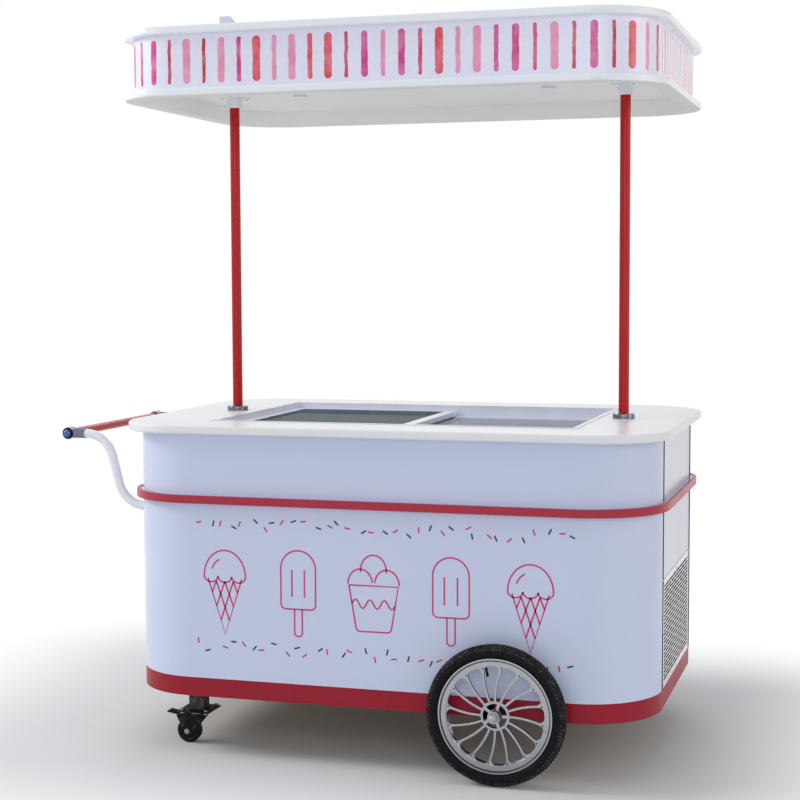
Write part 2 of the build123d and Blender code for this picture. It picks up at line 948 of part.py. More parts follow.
def caster_plate():
    y = caster_y()
    plate = Pos(caster_x, y, caster_height) * extrude(
        RectangleRounded(caster_plate_size, caster_plate_size, cheek_corner), caster_plate_thickness
    )
    race = disc_z(caster_x, y, caster_height - race_height, caster_height, race_radius)
    head_top = crown_top() - crown_thickness - crown_play
    pin = disc_z(caster_x, y, head_top, caster_height, kingpin_radius)
    head = disc_z(caster_x, y, head_top - kingpin_head, head_top, kingpin_head_radius)
    return plate + race + pin + head


def cheek_outline():
    """Side view of the fork: one hull round the crown, the roller pin and the brake pin."""
    corner_z = crown_top() - cheek_corner
    spots = [
        (caster_x + crown_radius - 1.5 * cheek_corner, corner_z, cheek_corner),
        (caster_x - brake_pivot_back, brake_pivot_height, cheek_corner),
        (roller_x, caster_wheel_diameter / 2, cheek_boss),
    ]
    circles = Sketch() + [Pos(x, z) * Circle(radius) for x, z, radius in spots]
    return make_hull(circles.edges())


def caster_fork():
    y = caster_y()
    inner = caster_wheel_width / 2 + cheek_gap
    outer = inner + cheek_thickness
    crown = disc_z(caster_x, y, crown_top() - crown_thickness, crown_top(), crown_radius)
    crown -= disc_z(caster_x, y, 0, caster_height, kingpin_radius + running_fit)
    cheek = Plane.XZ * extrude(cheek_outline(), cheek_thickness)
    pin_z = caster_wheel_diameter / 2
    pivot_x = caster_x - brake_pivot_back
    fork = crown + Pos(0, y - inner, 0) * cheek + Pos(0, y + outer, 0) * cheek
    fork -= rod_y(roller_x, y - 2 * outer, y + 2 * outer, pin_z, caster_pin_radius + running_fit)
    fork -= rod_y(pivot_x, y - 2 * outer, y + 2 * outer, brake_pivot_height, brake_pin_radius + running_fit)
    roller_pin = rod_y(roller_x, y - outer, y + outer, pin_z, caster_pin_radius)
    for side in (-1, 1):
        low, high = sorted((y + side * outer, y + side * (outer + pin_head)))
        roller_pin += rod_y(roller_x, low, high, pin_z, pin_head_radius)
    brake_pin = rod_y(pivot_x, y - outer, y + outer, brake_pivot_height, brake_pin_radius)
    return [fork, roller_pin, brake_pin]


def caster_wheel():
    radius = caster_wheel_diameter / 2
    half = caster_wheel_width / 2
    bore = caster_pin_radius + running_fit
    dish = roller_dish
    profile = [
        (bore, -half),
        (pin_head_radius + dish, -half),
        (pin_head_radius + 2 * dish, dish - half),
        (roller_dish_radius, dish - half),
        (roller_tread_radius, -half),
        (radius - dish, -half),
        (radius, dish - half),
        (radius, half - dish),
        (radius - dish, half),
        (roller_tread_radius, half),
        (roller_dish_radius, half - dish),
        (pin_head_radius + 2 * dish, half - dish),
        (pin_head_radius + dish, half),
        (bore, half),
    ]
    return Pos(roller_x, caster_y(), radius) * Rot(90, 0, 0) * spin_profile(profile)


def caster_brake():
    y = caster_y()
    pivot_x = caster_x - brake_pivot_back
    half = caster_wheel_width / 2
    boss = rod_y(pivot_x, y - half, y + half, brake_pivot_height, brake_boss)
    top = brake_pivot_height + brake_boss
    neck = cheek_corner + cheek_gap
    arm = block(
        pivot_x - neck - pedal_thickness, pivot_x, y - half, y + half, top - pedal_thickness, top
    )
    tread_outline = Polyline(
        (pivot_x - neck, top - pedal_thickness),
        (pivot_x - pedal_reach, top - pedal_thickness + pedal_rise),
        (pivot_x - pedal_reach, top + pedal_rise),
        (pivot_x - neck, top),
        close=True,
    )
    tread = Pos(0, y + pedal_width / 2, 0) * (Plane.XZ * extrude(make_face(tread_outline), pedal_width))
    shoe_front = pivot_x - pedal_thickness
    shoe_bottom = caster_wheel_diameter / 2 + math.sqrt(
        (caster_wheel_diameter / 2 + shoe_gap) ** 2 - (shoe_front - roller_x) ** 2
    )
    shoe = block(
        shoe_front - pedal_thickness, shoe_front, y - half / 2, y + half / 2, shoe_bottom, brake_pivot_height
    )
    bore = rod_y(pivot_x, y - half, y + half, brake_pivot_height, brake_pin_radius + running_fit)
    return boss + arm + tread + shoe - bore


# Canopy


def on_posts(shape):
    """The same piece at both posts."""
    return [Pos(x, post_y, 0) * shape for x in (-post_x, post_x)]


def ceiling_height():
    return canopy_bottom + rim_thickness + ceiling_lift


def canopy_posts():
    bottom = counter_top_height
    top = ceiling_height() - socket_plate_thickness
    radius = post_diameter / 2
    return on_posts(disc_z(0, 0, bottom, top, radius) - disc_z(0, 0, bottom, top, radius - post_wall))


def post_flanges():
    ring = disc_z(0, 0, counter_top_height, counter_top_height + flange_height, flange_diameter / 2)
    ring = fillet(ring.edges().filter_by(GeomType.CIRCLE).sort_by(Axis.Z)[-1], flange_round)
    bore = disc_z(0, 0, 0, 2 * counter_top_height, post_diameter / 2 + post_fit)
    return on_posts(ring - bore)


def post_sockets():
    top = ceiling_height()
    plate_bottom = top - socket_plate_thickness
    plate = Pos(0, 0, plate_bottom) * extrude(
        RectangleRounded(socket_plate, socket_plate, flange_round), socket_plate_thickness
    )
    sleeve = Pos(0, 0, top - socket_length) * extrude(
        RectangleRounded(socket_size, socket_size, flange_round / 2), socket_length - socket_plate_thickness
    )
    bore = disc_z(0, 0, top - 2 * socket_length, plate_bottom, post_diameter / 2 + post_fit)
    return on_posts(plate + sleeve - bore)


def canopy_lower_rim():
    border = fascia_inset + fascia_thickness + canopy_tube
    board = canopy_slab(0, canopy_bottom, rim_thickness)
    board = soften_edges(board, rim_edge, [top_face(board), bottom_face(board)])
    return board - canopy_slab(-border, canopy_bottom, rim_thickness)


def canopy_frame():
    outer = fascia_inset + fascia_thickness
    inner = outer + canopy_tube
    bottom = canopy_bottom + rim_thickness
    ring = canopy_band(-outer, -inner, bottom, ceiling_lift)
    straight_x = canopy_length / 2 - canopy_radius
    straight_y = canopy_width / 2 - canopy_radius
    middle = block(-straight_x, straight_x, -canopy_width, canopy_width, bottom, bottom + ceiling_lift)
    ends = block(-canopy_length, canopy_length, -straight_y, straight_y, bottom, bottom + ceiling_lift)
    pieces = [ring & middle, ring & ends, ring - middle - ends]
    strut_bottom = ceiling_height() + ceiling_thickness
    strut_top = bottom + fascia_height
    reach_x = canopy_length / 2 - (outer + inner) / 2
    reach_y = canopy_width / 2 - (outer + inner) / 2
    side_y = canopy_width / 2 - canopy_radius - canopy_tube
    side_x = canopy_length / 2 - canopy_radius - canopy_tube
    half = canopy_tube / 2
    for x, y in ((0, reach_y), (side_x, reach_y), (-side_x, reach_y), (reach_x, side_y), (-reach_x, side_y)):
        strut = tube_along("z", x - half, x + half, y - half, y + half, strut_bottom, strut_top)
        pieces += both_sides(strut)
    return pieces


def canopy_ceiling():
    return canopy_slab(-fascia_inset - fascia_thickness, ceiling_height(), ceiling_thickness)


def canopy_fascia():
    outer = -fascia_inset
    return canopy_band(outer, outer - fascia_thickness, canopy_bottom + rim_thickness, fascia_height)


def roof_bottom():
    return canopy_bottom + rim_thickness + fascia_height


def canopy_roof():
    board = canopy_slab(0, roof_bottom(), roof_thickness)
    board = soften_edges(board, rim_edge, [top_face(board), bottom_face(board)])
    return board - canopy_slab(-roof_border, roof_bottom(), roof_thickness - roof_skin)


def roof_cover():
    z = roof_bottom() + roof_thickness
    low = cover_x - cover_length / 2
    high = cover_x + cover_length / 2
    outline = Polyline(
        (low, z), (high, z), (low + cover_flat, z + cover_height), (low, z + cover_height), close=True
    )
    y = -canopy_width / 2 + cover_setback + cover_width
    return Pos(0, y, 0) * (Plane.XZ * extrude(make_face(outline), cover_width))


def canopy_lights():
    top = ceiling_height()
    puck = disc_z(0, 0, top - light_height, top, light_radius)
    puck = chamfer(puck.edges().filter_by(GeomType.CIRCLE).sort_by(Axis.Z)[0], light_height / 3)
    puck -= disc_z(0, 0, top - light_height, top - light_height + light_recess, light_radius - light_bezel)
    return [Pos(x, 0, 0) * puck for x in (-light_x, light_x)]


# Push handle on the left end


def handle_path():
    start_x = -half_length + wall
    low_x = -half_length - handle_out
    top_x = low_x - handle_lean
    end_x = crossbar_x + tee_radius
    return FilletPolyline(
        (start_x, 0, handle_base_height),
        (low_x, 0, handle_base_height),
        (top_x, 0, handle_height),
        (end_x, 0, handle_height),
        radius=handle_bend,
    )


def handle_tubes():
    path = handle_path()
    radius = handle_tube_diameter / 2
    section = Circle(radius) - Circle(radius - handle_tube_wall)
    start = Plane(origin=path @ 0, z_dir=path % 0)
    tube = sweep(start * section, path=path)
    return [Pos(0, y, 0) * tube for y in (-handle_spread / 2, handle_spread / 2)]


def sleeve_radius():
    return handle_tube_diameter / 2 + sleeve_wall


def handle_sleeves():
    """Sleeves on the tube ends, each ending in a tee round the crossbar."""
    end = crossbar_x + sleeve_length
    half = tee_width / 2
    sleeve = rod_x(crossbar_x, end, 0, handle_height, sleeve_radius())
    sleeve += rod_y(crossbar_x, -half, half, handle_height, tee_radius)
    sleeve -= rod_y(crossbar_x, -half, half, handle_height, crossbar_diameter / 2 + running_fit)
    sleeve -= rod_x(crossbar_x + tee_radius, end, 0, handle_height, handle_tube_diameter / 2 + running_fit)
    return [Pos(0, y, 0) * sleeve for y in (-handle_spread / 2, handle_spread / 2)]


def crossbar_end():
    return (handle_spread + tee_width) / 2


def handle_crossbar():
    reach = crossbar_end()
    bar = rod_y(crossbar_x, -reach, reach, handle_height, crossbar_diameter / 2)
    return bar - rod_y(crossbar_x, -reach, reach, handle_height, crossbar_diameter / 2 - handle_tube_wall)


def handle_caps():
    """Collars with domes that close the ends of the crossbar."""
    end = -crossbar_end()
    collar = rod_y(crossbar_x, end - cap_collar, end, handle_height, cap_radius)
    dome = rod_y(crossbar_x, end - cap_collar - cap_dome, end, handle_height, cap_radius - cap_border)
    tip = dome.edges().filter_by(GeomType.CIRCLE).sort_by(Axis.Y)[0]
    return both_sides(collar + fillet(tip, cap_round))


def write(node, shape):
    """Shift a piece so the whole cart is centred over the origin, and save it."""
    solids = []
    for piece in shape if isinstance(shape, list) else [shape]:
        solids += piece.solids()
    moved = [solid.moved(Location((centre_shift, 0, 0))) for solid in solids]
    for solid in moved:
        solid.label = node
    export_step(Compound(label=node, children=moved), os.path.join("parts", node + ".step"))


def main():
    os.makedirs("parts", exist_ok=True)
    nodes = {
        "chassis_frame": chassis_frame(),
        "axle": axle(),
        "axle_nuts": axle_nuts(),
        "floor_board": floor_board(),
        "skirt": skirt(),
        "body_frame": body_frame(),
        "lower_front_shell": lower_front_shell(),
        "lower_rear_shell": other_side(lower_front_shell()),
        "lower_left_panel": lower_left_panel(),
        "lower_right_panel": lower_right_panel(),
        "vent_grille": vent_grille(),
        "belt_ledge": belt_ledge(),
        "belt_trim": belt_trim(),
        "upper_front_shell": front_shell(belt_top, upper_height),
        "upper_rear_shell": upper_rear_shell(),
        "upper_left_panel": upper_end_panel(-1),
        "upper_right_panel": upper_end_panel(1),
        "counter_top": counter_top(),
        "lid_tracks": lid_tracks(),
        "freezer_tub": freezer_tub(),
        "freezer_jacket": freezer_jacket(),
        "compressor": compressor(),
        "condenser": condenser(),
        "fan_motor": fan_motor(),
        "fan_blades": fan_blades(),
        "control_panel": control_panel(),
        "thermostat_knob": thermostat_knob(),
        "power_switch": power_switch(),
        "canopy_posts": canopy_posts(),
        "post_flanges": post_flanges(),
        "post_sockets": post_sockets(),
        "canopy_lower_rim": canopy_lower_rim(),
        "canopy_frame": canopy_frame(),
        "canopy_ceiling": canopy_ceiling(),
        "canopy_fascia": canopy_fascia(),
        "canopy_roof": canopy_roof(),
        "roof_cover": roof_cover(),
        "canopy_lights": canopy_lights(),
        "handle_tubes": handle_tubes(),
        "handle_sleeves": handle_sleeves(),
        "handle_crossbar": handle_crossbar(),
        "handle_caps": handle_caps(),
        "caster_plates": both_sides(caster_plate()),
    }
    for name, upper in (("lid_left", True), ("lid_right", False)):
        nodes[name + "_frame"] = lid_frame(upper)
        nodes[name + "_glass"] = lid_glass(upper)
    for name, side in (("front", -1), ("rear", 1)):
        nodes["wheel_" + name] = outward(cast_wheel(), side)
        nodes["tyre_" + name] = outward(tyre(), side)
        nodes["bearings_" + name] = [outward(ring, side) for ring in bearings()]
    nodes["caster_fork_front"] = caster_fork()
    nodes["caster_wheel_front"] = caster_wheel()
    nodes["caster_brake_front"] = caster_brake()
    for piece in ("fork", "wheel", "brake"):
        near = nodes["caster_" + piece + "_front"]
        pieces = near if isinstance(near, list) else [near]
        nodes["caster_" + piece + "_rear"] = [other_side(shape) for shape in pieces]
    for node, shape in nodes.items():
        write(node, shape)


main()
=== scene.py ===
import json
import math
import random

import bmesh
import bpy
from mathutils import Matrix, Vector

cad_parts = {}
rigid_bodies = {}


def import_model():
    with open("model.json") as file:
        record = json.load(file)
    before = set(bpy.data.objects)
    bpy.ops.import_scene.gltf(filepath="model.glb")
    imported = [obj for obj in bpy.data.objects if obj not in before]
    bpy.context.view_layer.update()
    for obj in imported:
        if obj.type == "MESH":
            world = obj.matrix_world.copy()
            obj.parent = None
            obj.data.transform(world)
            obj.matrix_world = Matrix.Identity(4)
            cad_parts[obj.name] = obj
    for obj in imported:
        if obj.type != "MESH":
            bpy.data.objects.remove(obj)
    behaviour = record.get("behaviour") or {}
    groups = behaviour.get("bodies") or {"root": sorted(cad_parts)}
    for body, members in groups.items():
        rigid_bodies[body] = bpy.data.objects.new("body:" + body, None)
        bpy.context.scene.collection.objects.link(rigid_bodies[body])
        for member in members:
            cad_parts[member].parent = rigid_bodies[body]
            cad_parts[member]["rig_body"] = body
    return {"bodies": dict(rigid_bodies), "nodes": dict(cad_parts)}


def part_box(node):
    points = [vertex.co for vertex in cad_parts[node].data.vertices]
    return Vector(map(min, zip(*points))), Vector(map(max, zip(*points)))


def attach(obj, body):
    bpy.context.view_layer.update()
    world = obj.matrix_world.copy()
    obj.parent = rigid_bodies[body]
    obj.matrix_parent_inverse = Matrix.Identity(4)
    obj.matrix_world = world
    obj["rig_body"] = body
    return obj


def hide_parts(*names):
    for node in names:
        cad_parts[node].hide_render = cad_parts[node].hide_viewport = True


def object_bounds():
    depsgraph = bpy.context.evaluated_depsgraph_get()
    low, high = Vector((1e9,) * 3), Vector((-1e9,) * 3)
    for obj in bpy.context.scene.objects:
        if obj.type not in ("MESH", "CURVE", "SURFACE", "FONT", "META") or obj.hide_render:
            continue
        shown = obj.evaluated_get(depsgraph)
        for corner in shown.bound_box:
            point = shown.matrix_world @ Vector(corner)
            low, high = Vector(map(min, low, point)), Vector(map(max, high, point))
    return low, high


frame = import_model()
cad_box = [list(corner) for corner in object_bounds()]

bl_info = {
    "name": "Gelato Push Cart",
    "version": (1, 0, 0),
    "blender": (4, 5, 0),
    "location": "View3D > Sidebar > Push Cart",
    "description": "Dresses the packed gelato push cart with its visible pieces and finishes",
    "category": "Object",
}

MM = 0.001
TAU = 2 * math.pi
QUARTER = math.pi / 2
SHARP_TURN = math.radians(32)
FLAT_TURN = math.radians(0.3)
WELD = 2e-6
ON_AXIS = 1e-7
WHITE = (1.0, 1.0, 1.0, 1.0)
SIDES = {"front": -1, "rear": 1}


def srgb(red, green, blue):
    """Linear colour from eight-bit colour chart numbers."""
    linear = []
    for value in (red / 255, green / 255, blue / 255):
        linear.append(value / 12.92 if value <= 0.04045 else ((value + 0.055) / 1.055) ** 2.4)
    return tuple(linear)


def solid(colour, share=1.0):
    """A share of a colour with full alpha, as a node socket wants it."""
    return tuple(share * value for value in colour) + (1.0,)


# Node building


def plug(tree, value, socket):
    """Link a socket to a value's own socket, or set the plain value."""
    if isinstance(value, bpy.types.NodeSocket):
        tree.links.new(value, socket)
    else:
        socket.default_value = value


def add_node(tree, kind, wires=None, **settings):
    """New node with its settings and its inputs, which are named or numbered."""
    node = tree.nodes.new(kind)
    for name, value in settings.items():
        setattr(node, name, value)
    for name, value in (wires or {}).items():
        plug(tree, value, node.inputs[name])
    return node


def calc(tree, operation, *values, clamp=False):
    node = add_node(tree, "ShaderNodeMath", dict(enumerate(values)), operation=operation, use_clamp=clamp)
    return node.outputs[0]


def reach_of(tree, first, second):
    """Length of a step with two parts at right angles."""
    squares = [calc(tree, "MULTIPLY", value, value) for value in (first, second)]
    return calc(tree, "SQRT", calc(tree, "ADD", *squares))


def ease(tree, value, low, high, start=0.0, end=1.0):
    """Smooth step of a value between two limits."""
    wires = {"Value": value, "From Min": low, "From Max": high, "To Min": start, "To Max": end}
    return add_node(tree, "ShaderNodeMapRange", wires, interpolation_type="SMOOTHSTEP").outputs["Result"]


def own_place(tree):
    return add_node(tree, "ShaderNodeTexCoord").outputs["Object"]


def axes(tree, vector):
    return add_node(tree, "ShaderNodeSeparateXYZ", {"Vector": vector}).outputs


def attribute(tree, name):
    return add_node(tree, "ShaderNodeAttribute", attribute_name=name).outputs["Fac"]


def speckle(tree, scale, detail=2.0, vector=None):
    """Noise value on the piece's own coordinates, or on a given vector."""
    place = own_place(tree) if vector is None else vector
    wires = {"Vector": place, "Scale": scale, "Detail": detail}
    return add_node(tree, "ShaderNodeTexNoise", wires).outputs["Fac"]


def relief(tree, height, depth, strength=1.0):
    """Normal of a surface with a small relief."""
    wires = {"Height": height, "Distance": depth, "Strength": strength}
    return add_node(tree, "ShaderNodeBump", wires).outputs["Normal"]


def mix(tree, factor, first, second):
    return add_node(tree, "ShaderNodeMix", {0: factor, 6: first, 7: second}, data_type="RGBA").outputs[2]


def new_group(kind, name, inputs, outputs):
    """Node group with its named sockets, and its input and output nodes."""
    tree = bpy.data.node_groups.new(name, kind)
    for title, socket, default in inputs:
        made = tree.interface.new_socket(title, in_out="INPUT", socket_type="NodeSocket" + socket)
        if default is not None:
            made.default_value = default
    for title, socket in outputs:
        tree.interface.new_socket(title, in_out="OUTPUT", socket_type="NodeSocket" + socket)
    return tree, tree.nodes.new("NodeGroupInput").outputs, tree.nodes.new("NodeGroupOutput").inputs


def bare_tree(owner):
    """Empty node tree of a material or world."""
    owner.use_nodes = True
    owner.node_tree.nodes.clear()
    return owner.node_tree


# Effects shared by several finishes

ROAD_DUST = solid(srgb(150, 140, 126))
BARE_STEEL = solid(srgb(150, 150, 152))
SOCKET_KINDS = {"Colour": "Color", "Dust": "Color", "Bare": "Color", "Normal": "Vector"}


def tone_drift(tree, given):
    """Slow, faint change of tone over a large surface."""
    low, high = [calc(tree, operation, 1.0, given["Amount"]) for operation in ("SUBTRACT", "ADD")]
    level = ease(tree, speckle(tree, given["Scale"], 3.0), 0.3, 0.7, low, high)
    shift = add_node(tree, "ShaderNodeHueSaturation", {"Value": level, "Color": given["Colour"]})
    return {"Colour": shift.outputs["Color"]}


def smudged_gloss(tree, given):
    """Roughness that rises in faint wiped patches."""
    patches = ease(tree, speckle(tree, given["Scale"], 4.0), 0.35, 0.75)
    rise = calc(tree, "MULTIPLY", patches, given["Spread"])
    return {"Roughness": calc(tree, "ADD", given["Roughness"], rise)}


def covered(tree, given, cover, first, second):
    """Colour with a cover where two masks meet, and the mask by which it is laid on."""
    both = calc(tree, "MULTIPLY", first, second)
    mask = calc(tree, "MULTIPLY", both, given["Amount"], clamp=True)
    return {"Colour": mix(tree, mask, given["Colour"], given[cover]), "Mask": mask}


def low_dust(tree, given):
    """Dust that lies thicker towards the floor."""
    near = ease(tree, axes(tree, own_place(tree))["Z"], given["Top"], 0.0)
    cloud = ease(tree, speckle(tree, 14.0, 5.0), 0.3, 0.75)
    return covered(tree, given, "Dust", near, cloud)


def rubbed_edges(tree, given):
    """Paint rubbed thin along outer edges, in broken patches."""
    edge = ease(tree, add_node(tree, "ShaderNodeNewGeometry").outputs["Pointiness"], 0.51, 0.58)
    broken = ease(tree, speckle(tree, 90.0, 4.0), 0.48, 0.62)
    return covered(tree, given, "Bare", edge, broken)


def fine_skin(tree, given):
    """Fine unevenness of paint, moulding or casting."""
    return {"Normal": relief(tree, speckle(tree, given["Scale"]), given["Depth"])}


def brushed_lines(tree, given):
    """Fine parallel lines left by brushing along X."""
    scales = {"X": given["Along"], "Y": given["Across"], "Z": given["Across"]}
    stretch = add_node(tree, "ShaderNodeCombineXYZ", scales).outputs[0]
    wires = {0: own_place(tree), 1: stretch}
    vector = add_node(tree, "ShaderNodeVectorMath", wires, operation="MULTIPLY").outputs[0]
    lines = speckle(tree, 1.0, 2.0, vector)
    return {"Value": lines, "Normal": relief(tree, lines, given["Depth"])}


COVER = ("Colour", "Mask")
EFFECTS = {
    "tone_drift": (tone_drift, {"Colour": WHITE, "Scale": 2.0, "Amount": 0.03}, ("Colour",)),
    "smudged_gloss": (smudged_gloss, {"Roughness": 0.3, "Spread": 0.1, "Scale": 8.0}, ("Roughness",)),
    "low_dust": (low_dust, {"Colour": WHITE, "Dust": ROAD_DUST, "Top": 0.4, "Amount": 0.2}, COVER),
    "rubbed_edges": (rubbed_edges, {"Colour": WHITE, "Bare": BARE_STEEL, "Amount": 0.5}, COVER),
    "fine_skin": (fine_skin, {"Scale": 400.0, "Depth": 0.00002}, ("Normal",)),
    "brushed_lines": (brushed_lines, {"Along": 4.0, "Across": 900.0, "Depth": 0.00001}, ("Value", "Normal")),
}


def effect_group(name):
    """Node group of a shared effect."""
    fill, defaults, shown = EFFECTS[name]
    inputs = [(title, SOCKET_KINDS.get(title, "Float"), value) for title, value in defaults.items()]
    outputs = [(title, SOCKET_KINDS.get(title, "Float")) for title in shown]
    tree, given, out = new_group("ShaderNodeTree", name, inputs, outputs)
    for title, socket in fill(tree, given).items():
        tree.links.new(socket, out[title])
    return tree


def effect(tree, name, **wires):
    """Place a shared effect in a finish and give back its outputs."""
    group = bpy.data.node_groups.get(name) or effect_group(name)
    return add_node(tree, "ShaderNodeGroup", wires, node_tree=group).outputs


def toned(tree, colour, scale, amount):
    return effect(tree, "tone_drift", Colour=solid(colour), Scale=scale, Amount=amount)["Colour"]


def wiped(tree, rough, spread, scale):
    return effect(tree, "smudged_gloss", Roughness=rough, Spread=spread, Scale=scale)["Roughness"]


def grained(tree, scale, depth):
    return effect(tree, "fine_skin", Scale=scale, Depth=depth)["Normal"]


# Finishes

# Dark colour of a line of painted shade in the rim's step
STEP_PAINTED_SHADE = solid(srgb(46, 44, 44))
TREAD_DUST_AND_HIGHLIGHT = solid(srgb(118, 117, 118))
# Share of the alloy's colour on unpolished faces: painted shade on the spokes' sides
SIDE_PAINTED_SHADE = 0.1
RIM_STEP_RADIUS = 158.2 * MM
WALL_RING_PITCH = 1.1 * MM
STRIPE_WOBBLE = 7.0 * MM
STRIPE_BLUR = 0.7 * MM
STRIPE_COLOURS = ("stripe_deep", "stripe_rose", "stripe_bright", "stripe_pale", "stripe_coral")


def wire(tree, shader, **values):
    """Plug values into a shader's sockets by their names."""
    for name, value in values.items():
        plug(tree, value, shader[name.replace("_", " ")])


def new_finish(title, **fixed):
    """Tree and shader sockets of a new material, with the plain values set on them."""
    tree = bare_tree(bpy.data.materials.new(title))
    shader = tree.nodes.new("ShaderNodeBsdfPrincipled")
    out = tree.nodes.new("ShaderNodeOutputMaterial")
    tree.links.new(shader.outputs["BSDF"], out.inputs["Surface"])
    wire(tree, shader.inputs, **fixed)
    return tree, shader.inputs


def skinned(title, colour, tone, gloss, skin, dust=(0.0, 0.0), rubbed=0.0, dull=True, **fixed):
    """Drifting tone, wiped gloss and a fine skin, with rubbed edges and dust where they are asked for."""
    tree, shader = new_finish(title, **fixed)
    paint, rough = toned(tree, colour, *tone), wiped(tree, *gloss)
    if rubbed:
        worn = effect(tree, "rubbed_edges", Colour=paint, Bare=BARE_STEEL, Amount=rubbed)
        wire(tree, shader, Metallic=worn["Mask"])
        paint = worn["Colour"]
    top, amount = dust
    if amount:
        dusty = effect(tree, "low_dust", Colour=paint, Dust=ROAD_DUST, Top=top, Amount=amount)
        paint = dusty["Colour"]
        rough = calc(tree, "ADD", rough, dusty["Mask"]) if dull else rough
    wire(tree, shader, Base_Color=paint, Roughness=rough, Normal=grained(tree, *skin))


def laminate(title, colour, rough=0.2, dust=0.05, coat=0.35, shine=0.5):
    """Gloss board facing with wiped patches and road dust near the floor."""
    fixed = {"Coat_Weight": coat, "Coat_Roughness": 0.06, "Specular_IOR_Level": shine}
    skinned(title, colour, (1.3, 0.012), (rough, 0.05, 5.0), (260.0, 0.000012), (0.34, dust), **fixed)


def powder_coat(title, colour, rough=0.32, rubbed=0.0, dust=0.05, dust_top=0.3, coat=0.2, shine=0.5):
    """Baked paint with an orange-peel skin, rubbed edges and a little dust."""
    fixed = {"Coat_Weight": coat, "Coat_Roughness": 0.12, "Specular_IOR_Level": shine}
    gloss, skin = (rough, 0.12, 18.0), (520.0, 0.00001)
    skinned(title, colour, (4.0, 0.02), gloss, skin, (dust_top, dust), rubbed=rubbed, **fixed)


def moulding(title, colour, rough=0.4, grain_scale=900.0, dust=0.05, coat=0.0, shine=0.5):
    """Moulded plastic with a fine spark-eroded grain."""
    fixed = {"Coat_Weight": coat, "Coat_Roughness": 0.05, "Specular_IOR_Level": shine}
    gloss, skin = (rough, 0.1, 24.0), (grain_scale, 0.00003)
    skinned(title, colour, (10.0, 0.03), gloss, skin, (0.25, dust), dull=False, **fixed)


def bare_metal(title, colour, rough, spread=0.12, skin_depth=0.00002, drift=0.06):
    """Polished or plated metal with uneven polish."""
    skinned(title, colour, (26.0, drift), (rough, spread, 60.0), (300.0, skin_depth), Metallic=1.0)


def polished_casting(title, colour):
    """Cast alloy with polished faces, cast sides darkened as painted shade, and a dark line of painted shade
    in the rim's step.
    """
    tree, shader = new_finish(title, Metallic=1.0)
    polish = attribute(tree, "polish")
    # Unpolished sides are painted in shade, at a small share of the alloy's colour.
    faces = mix(tree, polish, solid(colour, SIDE_PAINTED_SHADE), toned(tree, colour, 26.0, 0.03))
    off_step = calc(tree, "ABSOLUTE", calc(tree, "SUBTRACT", wheel_radius(tree), RIM_STEP_RADIUS))
    # Painted shade: a dark line along the recess of the rim's step.
    step_shade = ease(tree, off_step, 3.2 * MM, 1.2 * MM, 0.0, 0.85)
    rough = wiped(tree, ease(tree, polish, 0.0, 1.0, 0.4, 0.13), 0.08, 60.0)
    paint = mix(tree, step_shade, faces, STEP_PAINTED_SHADE)
    wire(tree, shader, Base_Color=paint, Roughness=rough, Normal=grained(tree, 420.0, 0.00002))


def brushed_steel(title, colour):
    """Stainless sheet brushed lengthways."""
    tree, shader = new_finish(title, Metallic=1.0)
    lines = effect(tree, "brushed_lines", Along=6.0, Across=1100.0, Depth=0.00003)
    rough = ease(tree, lines["Value"], 0.2, 0.8, 0.24, 0.42)
    wire(tree, shader, Base_Color=toned(tree, colour, 5.0, 0.05), Roughness=rough, Normal=lines["Normal"])


def wheel_radius(tree):
    """Distance from the road wheels' axle line, in metres."""
    centre, place = middle("axle"), axes(tree, own_place(tree))
    across = calc(tree, "SUBTRACT", place["X"], centre.x)
    return reach_of(tree, across, calc(tree, "SUBTRACT", place["Z"], centre.z))


def tyre_rubber(title, colour):
    """Black rubber, with chalky grey on the tread that is partly dust and partly painted highlight, finely
    ringed on the wall.
    """
    tree, shader = new_finish(title, Specular_IOR_Level=0.1)
    radius = wheel_radius(tree)
    chalk = ease(tree, speckle(tree, 70.0, 4.0), 0.35, 0.7)
    # Lighter grey on the tread blocks' tops: partly dust, partly painted highlight.
    tread = calc(tree, "MULTIPLY", attribute(tree, "tread"), 0.5)
    wall = calc(tree, "MULTIPLY", ease(tree, radius, 172 * MM, 190 * MM), 0.04)
    mask = calc(tree, "MULTIPLY", calc(tree, "ADD", tread, wall), chalk, clamp=True)
    rings = calc(tree, "SINE", calc(tree, "MULTIPLY", radius, TAU / WALL_RING_PITCH))
    paint = mix(tree, mask, toned(tree, colour, 30.0, 0.12), TREAD_DUST_AND_HIGHLIGHT)
    rough = ease(tree, chalk, 0.0, 1.0, 0.46, 0.68)
    wire(tree, shader, Base_Color=paint, Roughness=rough, Normal=relief(tree, rings, 0.00005, 0.35))


def sealed_plywood(title, colour):
    """Pale plywood with long grain under a thin seal."""
    tree, shader = new_finish(title, Coat_Weight=0.1)
    stretch = {"Vector": own_place(tree), "Scale": (3.0, 55.0, 55.0)}
    grain = speckle(tree, 1.0, 5.0, add_node(tree, "ShaderNodeMapping", stretch).outputs[0])
    paint = mix(tree, ease(tree, grain, 0.35, 0.7), solid(colour), solid(colour, 0.55))
    rough = ease(tree, grain, 0.2, 0.8, 0.45, 0.65)
    wire(tree, shader, Base_Color=paint, Roughness=rough, Normal=relief(tree, grain, 0.0001))


def rigid_foam(title, colour):
    """Closed-cell insulating foam."""
    tree, shader = new_finish(title, Roughness=0.9)
    wires = {"Vector": own_place(tree), "Scale": 320.0}
    cells = add_node(tree, "ShaderNodeTexVoronoi", wires).outputs["Distance"]
    paint = mix(tree, ease(tree, cells, 0.0, 0.6), solid(colour, 0.8), solid(colour))
    wire(tree, shader, Base_Color=paint, Normal=relief(tree, cells, 0.0004))


